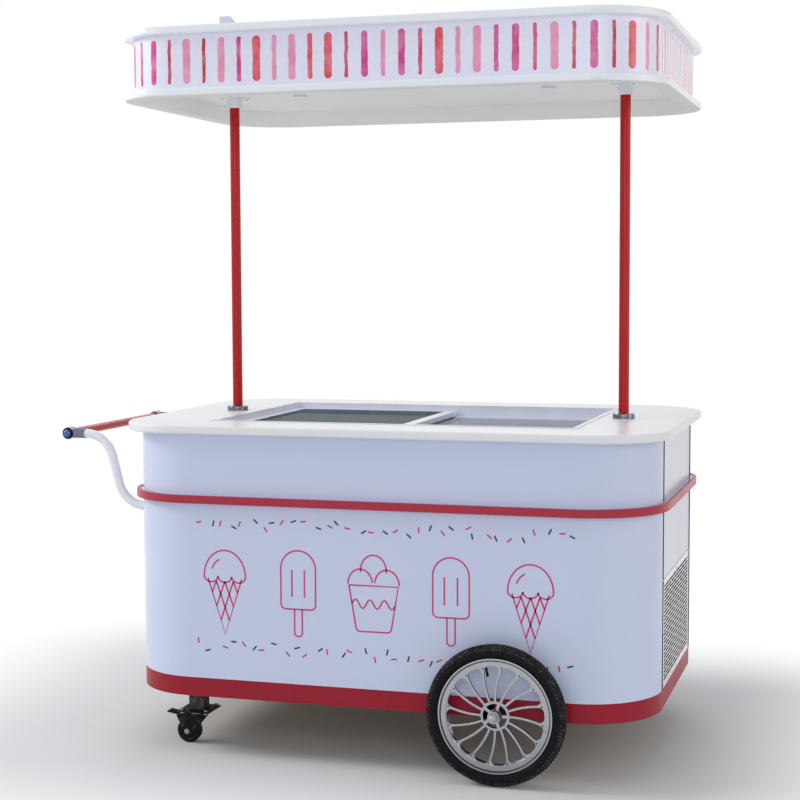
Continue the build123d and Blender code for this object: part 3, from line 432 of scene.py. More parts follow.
def lid_glass(title, colour, bend):
    """Tinted tempered glass with faint wiping marks."""
    tree, shader = new_finish(title, Transmission_Weight=1.0, IOR=bend)
    wire(tree, shader, Base_Color=toned(tree, colour, 3.0, 0.03), Roughness=wiped(tree, 0.01, 0.05, 9.0))


def frosted_lens(title, colour):
    """Frosted lamp lens with a fine grain."""
    tree, shader = new_finish(title, Roughness=0.4, Subsurface_Weight=0.2, Emission_Strength=0.25)
    paint = toned(tree, colour, 40.0, 0.03)
    wire(tree, shader, Base_Color=paint, Emission_Color=paint, Normal=grained(tree, 700.0, 0.00005))


def stripe_shape(tree, place):
    """Mask of the round-ended stripes, and the chance value of each."""
    sizes = bpy.context.scene.cart_sizes
    low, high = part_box("canopy_fascia")
    period, half_band = fascia_run() / sizes.stripe_count, (high.z - low.z) / 2
    spot = axes(tree, place)
    wobble = calc(tree, "SUBTRACT", speckle(tree, 34.0, 3.0, place), 0.5)
    along = calc(tree, "ADD", spot["X"], calc(tree, "MULTIPLY", wobble, STRIPE_WOBBLE))
    lane = calc(tree, "DIVIDE", along, period)
    index = calc(tree, "FLOOR", lane)
    off_lane = calc(tree, "SUBTRACT", calc(tree, "SUBTRACT", lane, index), 0.5)
    across = calc(tree, "MULTIPLY", off_lane, period)
    odd = calc(tree, "MODULO", index, 2.0)
    chance = add_node(tree, "ShaderNodeTexWhiteNoise", {"W": index}, noise_dimensions="1D").outputs["Value"]
    wide = ease(tree, odd, 0.0, 1.0, sizes.stripe_wide / 2, sizes.stripe_narrow / 2)
    half_width = calc(tree, "MULTIPLY", wide, ease(tree, chance, 0.0, 1.0, 0.8, 1.15))
    half_run = calc(tree, "SUBTRACT", half_band - sizes.stripe_margin, half_width)
    level = calc(tree, "ABSOLUTE", calc(tree, "SUBTRACT", spot["Y"], half_band))
    over = calc(tree, "MAXIMUM", calc(tree, "SUBTRACT", level, half_run), 0.0)
    outside = calc(tree, "SUBTRACT", reach_of(tree, across, over), half_width)
    return ease(tree, outside, STRIPE_BLUR, -STRIPE_BLUR), chance


def picked(tree, chance, colours):
    """One of several colours, by a value between nought and one."""
    node = add_node(tree, "ShaderNodeValToRGB", {"Fac": chance})
    node.color_ramp.interpolation = "CONSTANT"
    stops = node.color_ramp.elements
    while len(stops) < len(colours):
        stops.new(1.0)
    for number, colour in enumerate(colours):
        stops[number].position = number / len(colours)
        stops[number].color = solid(colour)
    return node.outputs["Color"]


def striped_print(title, ground):
    """White print with brushed stripes, one pink for each."""
    tree, shader = new_finish(title, Coat_Weight=0.3, Coat_Roughness=0.08)
    colours = bpy.context.scene.cart_colours
    place = add_node(tree, "ShaderNodeUVMap", uv_map="print").outputs["UV"]
    mask, chance = stripe_shape(tree, place)
    pink = picked(tree, chance, [tuple(getattr(colours, name)) for name in STRIPE_COLOURS])
    wash = ease(tree, speckle(tree, 22.0, 4.0, place), 0.35, 0.7, 0.0, 0.2)
    paint = mix(tree, mask, toned(tree, ground, 2.4, 0.015), mix(tree, wash, pink, solid(ground)))
    rough, skin = wiped(tree, 0.24, 0.08, 9.0), grained(tree, 260.0, 0.00001)
    wire(tree, shader, Base_Color=paint, Roughness=rough, Normal=skin)


FINISHES = {}


def finish(name):
    """The named finish, made the first time that it is asked for."""
    title = "finish_" + name
    if title not in bpy.data.materials:
        make, colour, values = FINISHES[name]
        make(title, tuple(getattr(bpy.context.scene.cart_colours, colour)), **values)
    return bpy.data.materials[title]


def finish_maker(name, make, colour, **values):
    """Note how a finish is made and which colour of the user's it takes."""
    FINISHES[name] = (make, colour, values)


MATT = {"rough": 0.5, "coat": 0.0, "dust": 0.0, "shine": 0.25}
FILM = {"rough": 0.32, "coat": 0.1, "dust": 0.0}
UNDERBODY = {"rough": 0.45, "rubbed": 0.35, "dust": 0.3, "dust_top": 0.4, "coat": 0.0, "shine": 0.15}
finish_maker("white_panel", laminate, "white", coat=0.06, shine=0.22)
finish_maker("end_white", laminate, "end_white", coat=0.06, shine=0.22)
finish_maker("red_panel", laminate, "red", rough=0.36, dust=0.03, coat=0.02, shine=0.15)
finish_maker("trim_red", laminate, "trim_red", rough=0.3, dust=0.0, coat=0.04, shine=0.2)
finish_maker("counter_white", laminate, "counter", rough=0.3, dust=0.0, coat=0.05, shine=0.3)
finish_maker("canopy_white", laminate, "canopy", coat=0.12, shine=0.3)
finish_maker("ceiling_white", laminate, "ceiling", **MATT)
finish_maker("frame_white", laminate, "frame_white", **MATT)
finish_maker("rim_under", laminate, "rim_under", **MATT)
finish_maker("vinyl_pink", laminate, "vinyl_pink", **FILM)
finish_maker("vinyl_navy", laminate, "vinyl_navy", **FILM)
finish_maker("white_paint", powder_coat, "paint", rough=0.26)
finish_maker("red_paint", powder_coat, "post_red", rough=0.24, coat=0.12, shine=0.2)
finish_maker("black_paint", powder_coat, "black", rough=0.34, rubbed=0.3, dust=0.02, coat=0.02, shine=0.12)
finish_maker("chassis_paint", powder_coat, "chassis", **UNDERBODY)
finish_maker("machine_black", powder_coat, "black", rough=0.3, coat=0.1, shine=0.2)
finish_maker("white_pvc", moulding, "moulding", rough=0.28, coat=0.2)
finish_maker("fin_aluminium", moulding, "fins", rough=0.9, dust=0.0, shine=0.05)
finish_maker("slot_shade", moulding, "black", rough=0.95, dust=0.0, shine=0.02)
finish_maker("black_plastic", moulding, "black", rough=0.4, dust=0.06, shine=0.12)
finish_maker("panel_grey", moulding, "panel_grey", rough=0.45, grain_scale=1400.0)
finish_maker("switch_red", moulding, "switch_red", rough=0.2, coat=0.4)
finish_maker("cap_blue", moulding, "cap_blue", rough=0.14, coat=0.6)
finish_maker("zinc_steel", bare_metal, "zinc", rough=0.24, spread=0.2, drift=0.1)
finish_maker("chrome", bare_metal, "chrome", rough=0.05, spread=0.08, skin_depth=0.000004)
finish_maker("cast_alloy", polished_casting, "alloy")
finish_maker("tub_steel", brushed_steel, "steel")
finish_maker("tyre_rubber", tyre_rubber, "rubber")
finish_maker("floor_grey", sealed_plywood, "plywood")
finish_maker("foam", rigid_foam, "foam")
# The left lid's glass barely bends light, so its teal tint shows as a painted dark reflection.
finish_maker("left_lid_glass", lid_glass, "glass", bend=1.015)
finish_maker("right_lid_glass", lid_glass, "glass", bend=1.45)
finish_maker("light_lens", frosted_lens, "lens")
finish_maker("fascia_print", striped_print, "print_white")


# Mesh building


def middle(node):
    low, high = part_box(node)
    return (low + high) / 2


def ends(low, high, inset):
    """Two places that stand in from two limits."""
    return low + inset, high - inset


def link(name, data):
    piece = bpy.data.objects.new(name, data)
    bpy.context.scene.collection.objects.link(piece)
    return piece


def smoothed(mesh):
    """The mesh, smooth over gentle turns and sharp over hard ones."""
    mesh.shade_smooth()
    mesh.set_sharp_from_angle(angle=SHARP_TURN)
    return mesh


def mesh_from(bm, name):
    """Plain mesh from an editable one."""
    mesh = bpy.data.meshes.new(name)
    bm.to_mesh(mesh)
    bm.free()
    return smoothed(mesh)


def baked(piece):
    """The piece with its modifiers worked into a plain mesh."""
    bpy.context.view_layer.update()
    graph = bpy.context.evaluated_depsgraph_get()
    mesh = bpy.data.meshes.new_from_object(piece.evaluated_get(graph))
    piece.modifiers.clear()
    piece.data = mesh
    return piece


def settle(piece, body, slot, *nodes, material=None):
    """Give a piece its finish and body, and hide the nodes that it stands for; the slot names the finish when
    no material is given.
    """
    if not piece.data.materials:
        piece.data.materials.append(finish(material or slot))
    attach(piece, body)
    if nodes:
        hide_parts(*nodes)
    return piece


def keep(name, bm, body, slot, *nodes, material=None):
    """Settle a new piece made from an editable mesh."""
    return settle(link(name, mesh_from(bm, name)), body, slot, *nodes, material=material)


def dress(node, material):
    """Keep a CAD node's shape and give it its finish."""
    for place in frame["nodes"][node].material_slots:
        place.material = finish(material)


def soft_copy(node, slot, edge, rounds=2, material=None):
    """Copy of a CAD node with merged faces and its hard edges broken."""
    source, name = frame["nodes"][node], node + "_dressed"
    bm = bmesh.new()
    bm.from_mesh(source.data)
    bmesh.ops.remove_doubles(bm, verts=bm.verts[:], dist=WELD)
    bmesh.ops.dissolve_limit(bm, angle_limit=FLAT_TURN, verts=bm.verts[:], edges=bm.edges[:])
    piece = link(name, mesh_from(bm, name))
    if edge:
        bevel = piece.modifiers.new("edge", "BEVEL")
        bevel.width = edge
        bevel.segments = rounds
        bevel.limit_method = "ANGLE"
        bevel.angle_limit = SHARP_TURN
        bevel.use_clamp_overlap = True
        bevel.harden_normals = True
        baked(piece)
    piece.data.materials.clear()
    return settle(piece, source["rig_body"], slot, node, material=material)


def repaint(piece, material, chosen):
    """Give a second finish to the faces that a test of middle and normal picks."""
    piece.data.materials.append(finish(material))
    last = len(piece.data.materials) - 1
    for face in piece.data.polygons:
        if chosen(face.center, face.normal):
            face.material_index = last


def band(bm, low, high):
    """Strip of faces between two rings of corners."""
    for place in range(len(low)):
        ahead = (place + 1) % len(low)
        corners = [low[place], low[ahead], high[ahead], high[place]]
        corners = [corner for spot, corner in enumerate(corners) if corner not in corners[:spot]]
        if len(corners) > 2:
            bm.faces.new(corners)


def circle(radius, height, steps):
    """Places round Z at a radius and a height."""
    turns = [TAU * step / steps for step in range(steps)]
    return [(radius * math.cos(turn), radius * math.sin(turn), height) for turn in turns]


def lathe(profile, steps, closed=True):
    """Round solid about Z from radius and height pairs, closed into a ring or ended on the axis."""
    bm = bmesh.new()
    rings = []
    for radius, height in profile:
        if radius < ON_AXIS:
            rings.append([bm.verts.new((0, 0, height))] * steps)
        else:
            rings.append([bm.verts.new(place) for place in circle(radius, height, steps)])
    for first, second in zip(rings, rings[1:] + (rings[:1] if closed else [])):
        band(bm, first, second)
    bmesh.ops.recalc_face_normals(bm, faces=bm.faces[:])
    return bm


def turned(profile, steps, closed=True):
    """Round solid about Z, from a profile in millimetres."""
    return lathe([(radius * MM, height * MM) for radius, height in profile], steps, closed)


def stack(rings, capped):
    """Solid from rings of places, with faces on the rings that are numbered."""
    bm = bmesh.new()
    layers = [[bm.verts.new(place) for place in ring] for ring in rings]
    for low, high in zip(layers, layers[1:]):
        band(bm, low, high)
    for number in capped:
        bm.faces.new(layers[number])
    bmesh.ops.recalc_face_normals(bm, faces=bm.faces[:])
    return bm


def prism(outline, half):
    """Straight solid along Y, from an outline in X and Z."""
    return stack([[(x, y, z) for x, z in outline] for y in (-half, half)], (0, 1))


def placed(bm, matrix):
    bmesh.ops.transform(bm, matrix=matrix, verts=bm.verts[:])
    return bm


def joined(*meshes):
    """One editable mesh from several."""
    bm = bmesh.new()
    for mesh in meshes:
        bm.from_mesh(mesh)
        bpy.data.meshes.remove(mesh)
    return bm


def arc(centre_x, centre_y, reach_x, reach_y, start, end, steps=20):
    """Points on part of an ellipse, with its ends in degrees."""
    points = []
    for step in range(steps + 1):
        angle = math.radians(start + (end - start) * step / steps)
        points.append((centre_x + reach_x * math.cos(angle), centre_y + reach_y * math.sin(angle)))
    return points


def circle_through(first, mid, last):
    """Centre and radius of the circle that runs through three points."""
    weight = across = up = 0.0
    for point, ahead, behind in ((first, mid, last), (mid, last, first), (last, first, mid)):
        square = point[0] * point[0] + point[1] * point[1]
        weight += 2 * point[0] * (ahead[1] - behind[1])
        across += square * (ahead[1] - behind[1])
        up += square * (behind[0] - ahead[0])
    x, y = across / weight, up / weight
    return x, y, math.hypot(first[0] - x, first[1] - y)


def arc_through(first, mid, last, steps):
    """Points on the circle that runs through three points."""
    x, y, radius = circle_through(first, mid, last)
    start, through, end = [math.atan2(up - y, across - x) for across, up in (first, mid, last)]
    sweep = (end - start) % TAU
    if (through - start) % TAU > sweep:
        sweep -= TAU
    return arc(x, y, radius, radius, math.degrees(start), math.degrees(start + sweep), steps)


# Geometry node trees for what repeats or follows a path


def round_axis(tree, given):
    """Copies of an item turned about an axis through a centre."""
    points = add_node(tree, "GeometryNodePoints", {"Count": given["Count"], "Position": given["Centre"]})
    index = add_node(tree, "GeometryNodeInputIndex").outputs[0]
    angle = calc(tree, "MULTIPLY", index, calc(tree, "DIVIDE", TAU, given["Count"]))
    euler = add_node(tree, "ShaderNodeVectorMath", {0: given["Axis"], "Scale": angle}, operation="SCALE")
    return copies(tree, points.outputs[0], given["Item"], euler.outputs[0])


def at_points(tree, given):
    """Copies of an item at the carrier's points, each with the turn stored there."""
    stored = add_node(tree, "GeometryNodeInputNamedAttribute", {"Name": "turn"}, data_type="FLOAT_VECTOR")
    return copies(tree, given["Geometry"], given["Item"], stored.outputs[0])


def copies(tree, points, item, euler):
    """An item set on points and turned there."""
    turn = add_node(tree, "FunctionNodeEulerToRotation", {0: euler}).outputs[0]
    shape = add_node(tree, "GeometryNodeObjectInfo", {"Object": item}).outputs["Geometry"]
    wires = {"Points": points, "Instance": shape, "Rotation": turn}
    return add_node(tree, "GeometryNodeInstanceOnPoints", wires).outputs[0]


def film_strip(tree, given):
    """Flat strip of cut film along a drawn path, laid in the path's own plane."""
    path = add_node(tree, "GeometryNodeObjectInfo", {"Object": given["Path"]}).outputs["Geometry"]
    level = add_node(tree, "GeometryNodeSetCurveNormal", {"Curve": path}, mode="Z_UP")
    sides = {"Width": given["Width"], "Height": given["Thickness"]}
    section = add_node(tree, "GeometryNodeCurvePrimitiveQuadrilateral", sides)
    wires = {"Curve": level.outputs[0], "Profile Curve": section.outputs[0], "Fill Caps": True}
    return add_node(tree, "GeometryNodeCurveToMesh", wires).outputs[0]


ITEM = ("Item", "Object", None)
RING = (ITEM, ("Count", "Int", 12), ("Centre", "Vector", (0, 0, 0)), ("Axis", "Vector", (0, 1, 0)))
STRIP = (("Path", "Object", None), ("Width", "Float", 4 * MM), ("Thickness", "Float", 0.3 * MM))
TREES = {
    "repeat_round_axis": (round_axis, RING),
    "set_at_points": (at_points, (("Geometry", "Geometry", None), ITEM)),
    "strip_along_path": (film_strip, STRIP),
}


def maker_tree(name):
    """Tree that ends in a plain mesh with its finish."""
    fill, inputs = TREES[name]
    inputs += (("Material", "Material", None),)
    tree, given, out = new_group("GeometryNodeTree", name, inputs, [("Geometry", "Geometry")])
    real = add_node(tree, "GeometryNodeRealizeInstances", {"Geometry": fill(tree, given)}).outputs[0]
    coated = add_node(tree, "GeometryNodeSetMaterial", {"Geometry": real, "Material": given["Material"]})
    tree.links.new(coated.outputs[0], out["Geometry"])
    return tree


def grow(name, tree_name, values, carrier=None):
    """Run a tree once and keep what it makes as a plain mesh piece."""
    tree = bpy.data.node_groups.get(tree_name) or maker_tree(tree_name)
    piece = link(name, carrier or bpy.data.meshes.new(name))
    maker = piece.modifiers.new("maker", "NODES")
    maker.node_group = tree
    for socket in tree.interface.items_tree:
        if socket.in_out == "INPUT" and socket.name in values:
            maker[socket.identifier] = values[socket.name]
    smoothed(baked(piece).data)
    if not piece.data.polygons:
        raise RuntimeError(name + " came out empty")
    return piece


def drop(item):
    """Take out a loose object that a tree has used."""
    data = item.data
    bpy.data.objects.remove(item)
    bpy.data.batch_remove([data])


def set_on(name, bm, spots, body, slot, material=None):
    """Copies of a small item at places and turns, all on one body."""
    item = link(name + "_item", mesh_from(bm, name + "_item"))
    places, turns = zip(*spots)
    carrier = bpy.data.meshes.new(name)
    carrier.from_pydata(places, [], [])
    stored = carrier.attributes.new("turn", "FLOAT_VECTOR", "POINT")
    for mark, turn in zip(stored.data, turns):
        mark.vector = turn
    piece = grow(name, "set_at_points", {"Item": item, "Material": finish(material or slot)}, carrier)
    drop(item)
    return settle(piece, body, slot)


def ring_of(name, bm, count, centre, slot):
    """Copies of an item round a line along Y; the item is drawn about the line's centre."""
    item = link(name + "_item", mesh_from(bm, name + "_item"))
    values = {"Item": item, "Count": count, "Centre": centre, "Axis": (0, 1, 0), "Material": finish(slot)}
    piece = grow(name, "repeat_round_axis", values)
    drop(item)
    return piece


def button_screw(head, height):
    """Button-head screw with a round socket, standing up along Z."""
    shares = [(0.0, 0.35), (0.42, 0.35), (0.42, 1.0), (0.62, 0.92), (0.88, 0.6)]
    shares += [(1.0, 0.12), (1.0, -0.2), (0.0, -0.2)]
    return lathe([(across * head, up * height) for across, up in shares], 20, closed=False)


def hex_head(across, height):
    """Hexagon bolt head with a chamfered top, standing up along Z."""
    radius, shares = across / math.sqrt(3), ((1.0, 0.0), (1.0, 0.82), (0.88, 1.0))
    return stack([circle(radius * share, level * height, 6) for share, level in shares], (2, 0))


def bar_mark(long, wide, thick):
    """Thin round-ended bar lying along X, facing Y both ways."""
    half, end = long / 2 - wide / 2, wide / 2
    return prism(arc(half, 0, end, end, -90, 90, 6) + arc(-half, 0, end, end, 90, 270, 6), thick)


# Sizes and colours that a user may change


CAMERA_PLACE = (1.5983, -5.1250, 1.4458)
CAMERA_TURN = tuple(math.radians(turn) for turn in (16.772, -4.307, -0.228))


def vector_prop(name, description, default, **kind):
    return bpy.props.FloatVectorProperty(name=name, description=description, default=default, **kind)


def colour_prop(name, description, red, green, blue):
    return vector_prop(name, description, srgb(red, green, blue), subtype="COLOR", min=0.0, max=1.0)


def number_prop(name, description, default, **kind):
    return bpy.props.FloatProperty(name=name, description=description, default=default, **kind)


def length_prop(name, description, default):
    return number_prop(name, description, default, subtype="DISTANCE", unit="LENGTH")


def power_prop(name, description, default):
    return number_prop(name, description, default, unit="POWER")


def count_prop(name, description, default):
    return bpy.props.IntProperty(name=name, description=description, default=default, min=1)


class CartColours(bpy.types.PropertyGroup):
    """Colours of the cart's finishes"""

    # The cabinet white carries a bluish cast of painted sky shade; the end panels' white is a less shaded
    # copy of the same white board.
    white: colour_prop("Panel White", "Gloss board of the cabinet", 212, 220, 244)
    end_white: colour_prop("End White", "Gloss board of the end panels", 211, 214, 229)
    canopy: colour_prop("Canopy White", "Gloss board of the canopy", 248, 251, 255)
    paint: colour_prop("Paint White", "Painted tubes and the vent grille", 241, 242, 247)
    counter: colour_prop("Counter White", "Solid surface of the counter", 240, 240, 242)
    ceiling: colour_prop("Ceiling White", "Board under the canopy", 251, 251, 249)
    # Darker than the ceiling: painted shade on the rim's underside
    rim_under: colour_prop("Rim Underside", "Underside of the canopy's lower rim", 236, 236, 235)
    # A little lighter than the ceiling: painted light on the canopy's inner walls
    frame_white: colour_prop("Frame White", "Inner frame of the canopy", 253, 253, 251)
    # The print's ground carries a lavender cast of painted shade from the roof's overhang.
    print_white: colour_prop("Print White", "Ground of the fascia print", 240, 238, 255)
    red: colour_prop("Panel Red", "Skirt", 160, 34, 50)
    trim_red: colour_prop("Trim Red", "Belt edging", 178, 54, 71)
    post_red: colour_prop("Post Red", "Paint of the posts and the push bar", 186, 20, 26)
    moulding: colour_prop("Moulding White", "Lid frames and tracks", 222, 225, 238)
    # The deep teal tint is a painted reflection of dark greenery.
    glass: colour_prop("Lid Glass", "Tint of the sliding lids", 100, 140, 146)
    steel: colour_prop("Liner Steel", "Freezer liner", 190, 192, 196)
    alloy: colour_prop("Cast Alloy", "Spoked wheels", 164, 166, 172)
    # Blackened fins, kept near black and dull as painted shade behind the grille's slots
    fins: colour_prop("Condenser Fins", "Blackened fins behind the grille", 24, 24, 26)
    zinc: colour_prop("Zinc Plate", "Nuts, bolts and axle", 168, 170, 174)
    # Far darker than plated chrome: painted dark reflection.
    chrome: colour_prop("Chrome", "Flanges and handle sleeves", 116, 119, 130)
    rubber: colour_prop("Tyre Black", "Tyres", 18, 17, 20)
    black: colour_prop("Black Paint", "Casters and machine parts", 15, 15, 18)
    chassis: colour_prop("Chassis Grey", "Tubes under the floor", 42, 43, 46)
    plywood: colour_prop("Plywood", "Floor board", 196, 166, 122)
    foam: colour_prop("Foam", "Insulation round the liner", 226, 208, 158)
    panel_grey: colour_prop("Control Grey", "Control panel", 150, 153, 158)
    switch_red: colour_prop("Switch Red", "Power switch", 176, 24, 24)
    cap_blue: colour_prop("Cap Blue", "Domes on the push bar's ends", 8, 82, 158)
    lens: colour_prop("Lamp Lens", "Ceiling lamps", 236, 236, 230)
    vinyl_pink: colour_prop("Film Pink", "Cut film on the front panel", 205, 58, 124)
    vinyl_navy: colour_prop("Film Navy", "Second cut film on the front panel", 40, 36, 84)
    stripe_deep: colour_prop("Stripe Deep", "Darkest fascia stripe", 200, 16, 60)
    stripe_rose: colour_prop("Stripe Rose", "Second fascia stripe", 222, 36, 100)
    stripe_bright: colour_prop("Stripe Bright", "Third fascia stripe", 216, 48, 136)
    stripe_pale: colour_prop("Stripe Pale", "Palest fascia stripe", 240, 146, 178)
    stripe_coral: colour_prop("Stripe Coral", "Fifth fascia stripe", 230, 56, 76)


class CartSizes(bpy.types.PropertyGroup):
    """Sizes of the cart's dressed details"""

    panel_edge: length_prop("Panel Edge", "Rounding of panel edges", 1.2 * MM)
    metal_edge: length_prop("Metal Edge", "Rounding of metal edges", 0.7 * MM)
    moulded_edge: length_prop("Moulded Edge", "Rounding of moulded edges", 1.5 * MM)
    tread_count: count_prop("Tread Pitches", "Tread block groups round a tyre", 122)
    tread_depth: length_prop("Tread Depth", "Height of the tread blocks", 2.6 * MM)
    rivet_radius: length_prop("Rivet Radius", "Rivets at the spoke tips", 2.4 * MM)
    screw_radius: length_prop("Screw Radius", "Heads of the grille screws", 4.2 * MM)
    stripe_count: count_prop("Stripe Count", "Stripes round the fascia", 92)
    stripe_wide: length_prop("Wide Stripe", "Width of a wide stripe", 21.0 * MM)
    stripe_narrow: length_prop("Narrow Stripe", "Width of a narrow stripe", 13.0 * MM)
    stripe_margin: length_prop("Stripe Margin", "Clear white above and below the stripes", 14.0 * MM)
    film_width: length_prop("Film Line", "Width of the cut film lines", 5.0 * MM)
    film_thickness: length_prop("Film Thickness", "Thickness of the cut film", 0.3 * MM)


class CartStage(bpy.types.PropertyGroup):
    """Light, floor and camera"""

    lens: number_prop("Lens", "Camera lens in millimetres", 75.97, min=1.0)
    camera_place: vector_prop("Camera", "Place of the camera", CAMERA_PLACE, subtype="TRANSLATION")
    camera_turn: vector_prop("Camera Turn", "Yaw, pitch and roll of the camera", CAMERA_TURN, subtype="EULER")
    key_power: power_prop("Key", "Power of the key light", 180.0)
    fill_power: power_prop("Fill", "Power of the front light", 68.0)
    top_power: power_prop("Top", "Power of the top light", 18.0)
    side_power: power_prop("Side", "Power of the right light", 40.0)
    back_power: power_prop("Back", "Power of the rear light", 44.0)
    sky: number_prop("Sky", "Strength of the even light", 0.47, min=0.0)
    floor_size: length_prop("Floor", "Side of the floor", 60.0)


# Operators, one for each piece or group of like pieces

LEVELS = ("lower", "upper")
WALLS = (("front", "shell"), ("rear", "shell"), ("left", "panel"), ("right", "panel"))


class CART_OT_cabinet(bpy.types.Operator):
    """Cabinet shells, end panels, skirt and belt"""

    bl_idname = "cart.cabinet"
    bl_label = "Cabinet"

    def execute(self, context):
        edge = context.scene.cart_sizes.panel_edge
        for level in LEVELS:
            for side, kind in WALLS:
                material = "end_white" if kind == "panel" else "white_panel"
                soft_copy(f"{level}_{side}_{kind}", "white_panel", edge, material=material)
        soft_copy("belt_ledge", "white_panel", edge)
        soft_copy("belt_trim", "red_panel", 0.7 * edge, material="trim_red")
        soft_copy("skirt", "red_panel", edge)
        return {"FINISHED"}


class CART_OT_grille(bpy.types.Operator):
    """Slotted vent grille, its screws, the dark strips of painted shadow in the panels' seams and the
    refrigeration behind it
    """

    bl_idname = "cart.grille"
    bl_label = "Vent Grille"

    def execute(self, context):
        sizes = context.scene.cart_sizes
        low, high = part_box("vent_grille")
        sheet = soft_copy("vent_grille", "white_paint", 0.0)
        self.open_slots(sheet, low, high)
        self.shade_slots(sheet, low, high)
        self.seam_shade_strips()
        self.screws(low, high, sizes.screw_radius)
        soft_copy("compressor", "machine_black", sizes.moulded_edge)
        soft_copy("fan_motor", "machine_black", sizes.metal_edge)
        soft_copy("fan_blades", "black_plastic", sizes.metal_edge)
        # The condenser's near-black, dull fins paint the shade behind the slots.
        dress("condenser", "fin_aluminium")
        return {"FINISHED"}

    def open_slots(self, sheet, low, high):
        """Draw the slots out to their full length and height."""
        pitch_y, pitch_z, rows, field = 77 * MM, 11 * MM, 26, 256.5 * MM
        longer, taller, end_strip = 10.5 * MM, 0.45 * MM, 1.0 * MM
        mid_y = (low.y + high.y) / 2
        first = (low.z + high.z - (rows - 1) * pitch_z) / 2
        for corner in sheet.data.vertices:
            y, lane = corner.co.y - mid_y, (corner.co.z - first) / pitch_z
            row = round(lane)
            if abs(y) > field or not 0 <= row < rows:
                continue
            stagger = 0.5 if row % 2 else 0.0
            centre = (round(y / pitch_y - stagger) + stagger) * pitch_y
            away = y if abs(y) > field - end_strip else y - centre
            corner.co.y += math.copysign(longer, away)
            corner.co.z += math.copysign(taller, lane - row)

    def shade_slots(self, sheet, low, high):
        """Dark finish in the slots and on the back of the sheet."""
        border = 9 * MM
        left, right = ends(low.y, high.y, border)
        bottom, top = ends(low.z, high.z, border)

        def cut(place, normal):
            inner = left < place.y < right and bottom < place.z < top
            return normal.x < -0.5 or (inner and normal.x < 0.5)

        repaint(sheet, "slot_shade", cut)

    def seam_shade_strips(self):
        """Dark strips standing in the upright seams beside the end panels, as painted shadow of the seam
        gaps.
        """
        deep, wide, stand_off = 4.4 * MM, 1.9 * MM, 1.0 * MM
        panels = [f"{level}_{side}_panel" for side in ("left", "right") for level in LEVELS]
        bm = bmesh.new()
        for panel in panels + ["vent_grille"]:
            low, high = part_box(panel)
            face = low.x if "left" in panel else high.x
            size = Matrix.Diagonal((deep, wide, high.z - low.z, 1.0))
            for y in ends(low.y, high.y, -stand_off):
                spot = Matrix.Translation((face, y, (low.z + high.z) / 2))
                bmesh.ops.create_cube(bm, size=1.0, matrix=spot @ size)
        keep("panel_seams", bm, "cart", "black_plastic")

    def screws(self, low, high, radius):
        """Screws at the corners and half-way along the edges."""
        inset, height = 11 * MM, 1.8 * MM
        mid_y, mid_z = (low.y + high.y) / 2, (low.z + high.z) / 2
        ends_y, ends_z = ends(low.y, high.y, inset), ends(low.z, high.z, inset)
        spots = [(y, z) for y in ends_y for z in ends_z]
        spots += [(mid_y, z) for z in ends_z] + [(y, mid_z) for y in ends_y]
        places = [((high.x, y, z), (0.0, QUARTER, 0.0)) for y, z in spots]
        set_on("grille_screws", button_screw(radius, height), places, "cart", "zinc_steel")


class CART_OT_counter(bpy.types.Operator):
    """Counter top, lid tracks and freezer liner"""

    bl_idname = "cart.counter"
    bl_label = "Counter"

    def execute(self, context):
        sizes = context.scene.cart_sizes
        soft_copy("counter_top", "counter_white", 0.8 * sizes.panel_edge)
        soft_copy("lid_tracks", "white_pvc", 0.6 * sizes.panel_edge)
        soft_copy("freezer_tub", "tub_steel", 0.5 * sizes.metal_edge)
        dress("freezer_jacket", "foam")
        return {"FINISHED"}


class CART_OT_lids(bpy.types.Operator):
    """Two sliding lids with their glass"""

    bl_idname = "cart.lids"
    bl_label = "Sliding Lids"

    def execute(self, context):
        edge = context.scene.cart_sizes.moulded_edge
        for hand in ("left", "right"):
            soft_copy(f"lid_{hand}_frame", "white_pvc", edge, rounds=3)
            soft_copy(f"lid_{hand}_glass", "lid_glass", 0.3 * edge, material=hand + "_lid_glass")
        return {"FINISHED"}


def outward(side):
    """Turn that points Z out of the cart's front or rear."""
    return Matrix.Rotation(-QUARTER * side, 4, "X")


def stand_wheel(name, side):
    """Place for a piece drawn about Z, so that Z points out of the cart at a road wheel."""
    return Matrix.Translation(middle("wheel_" + name)) @ outward(side)


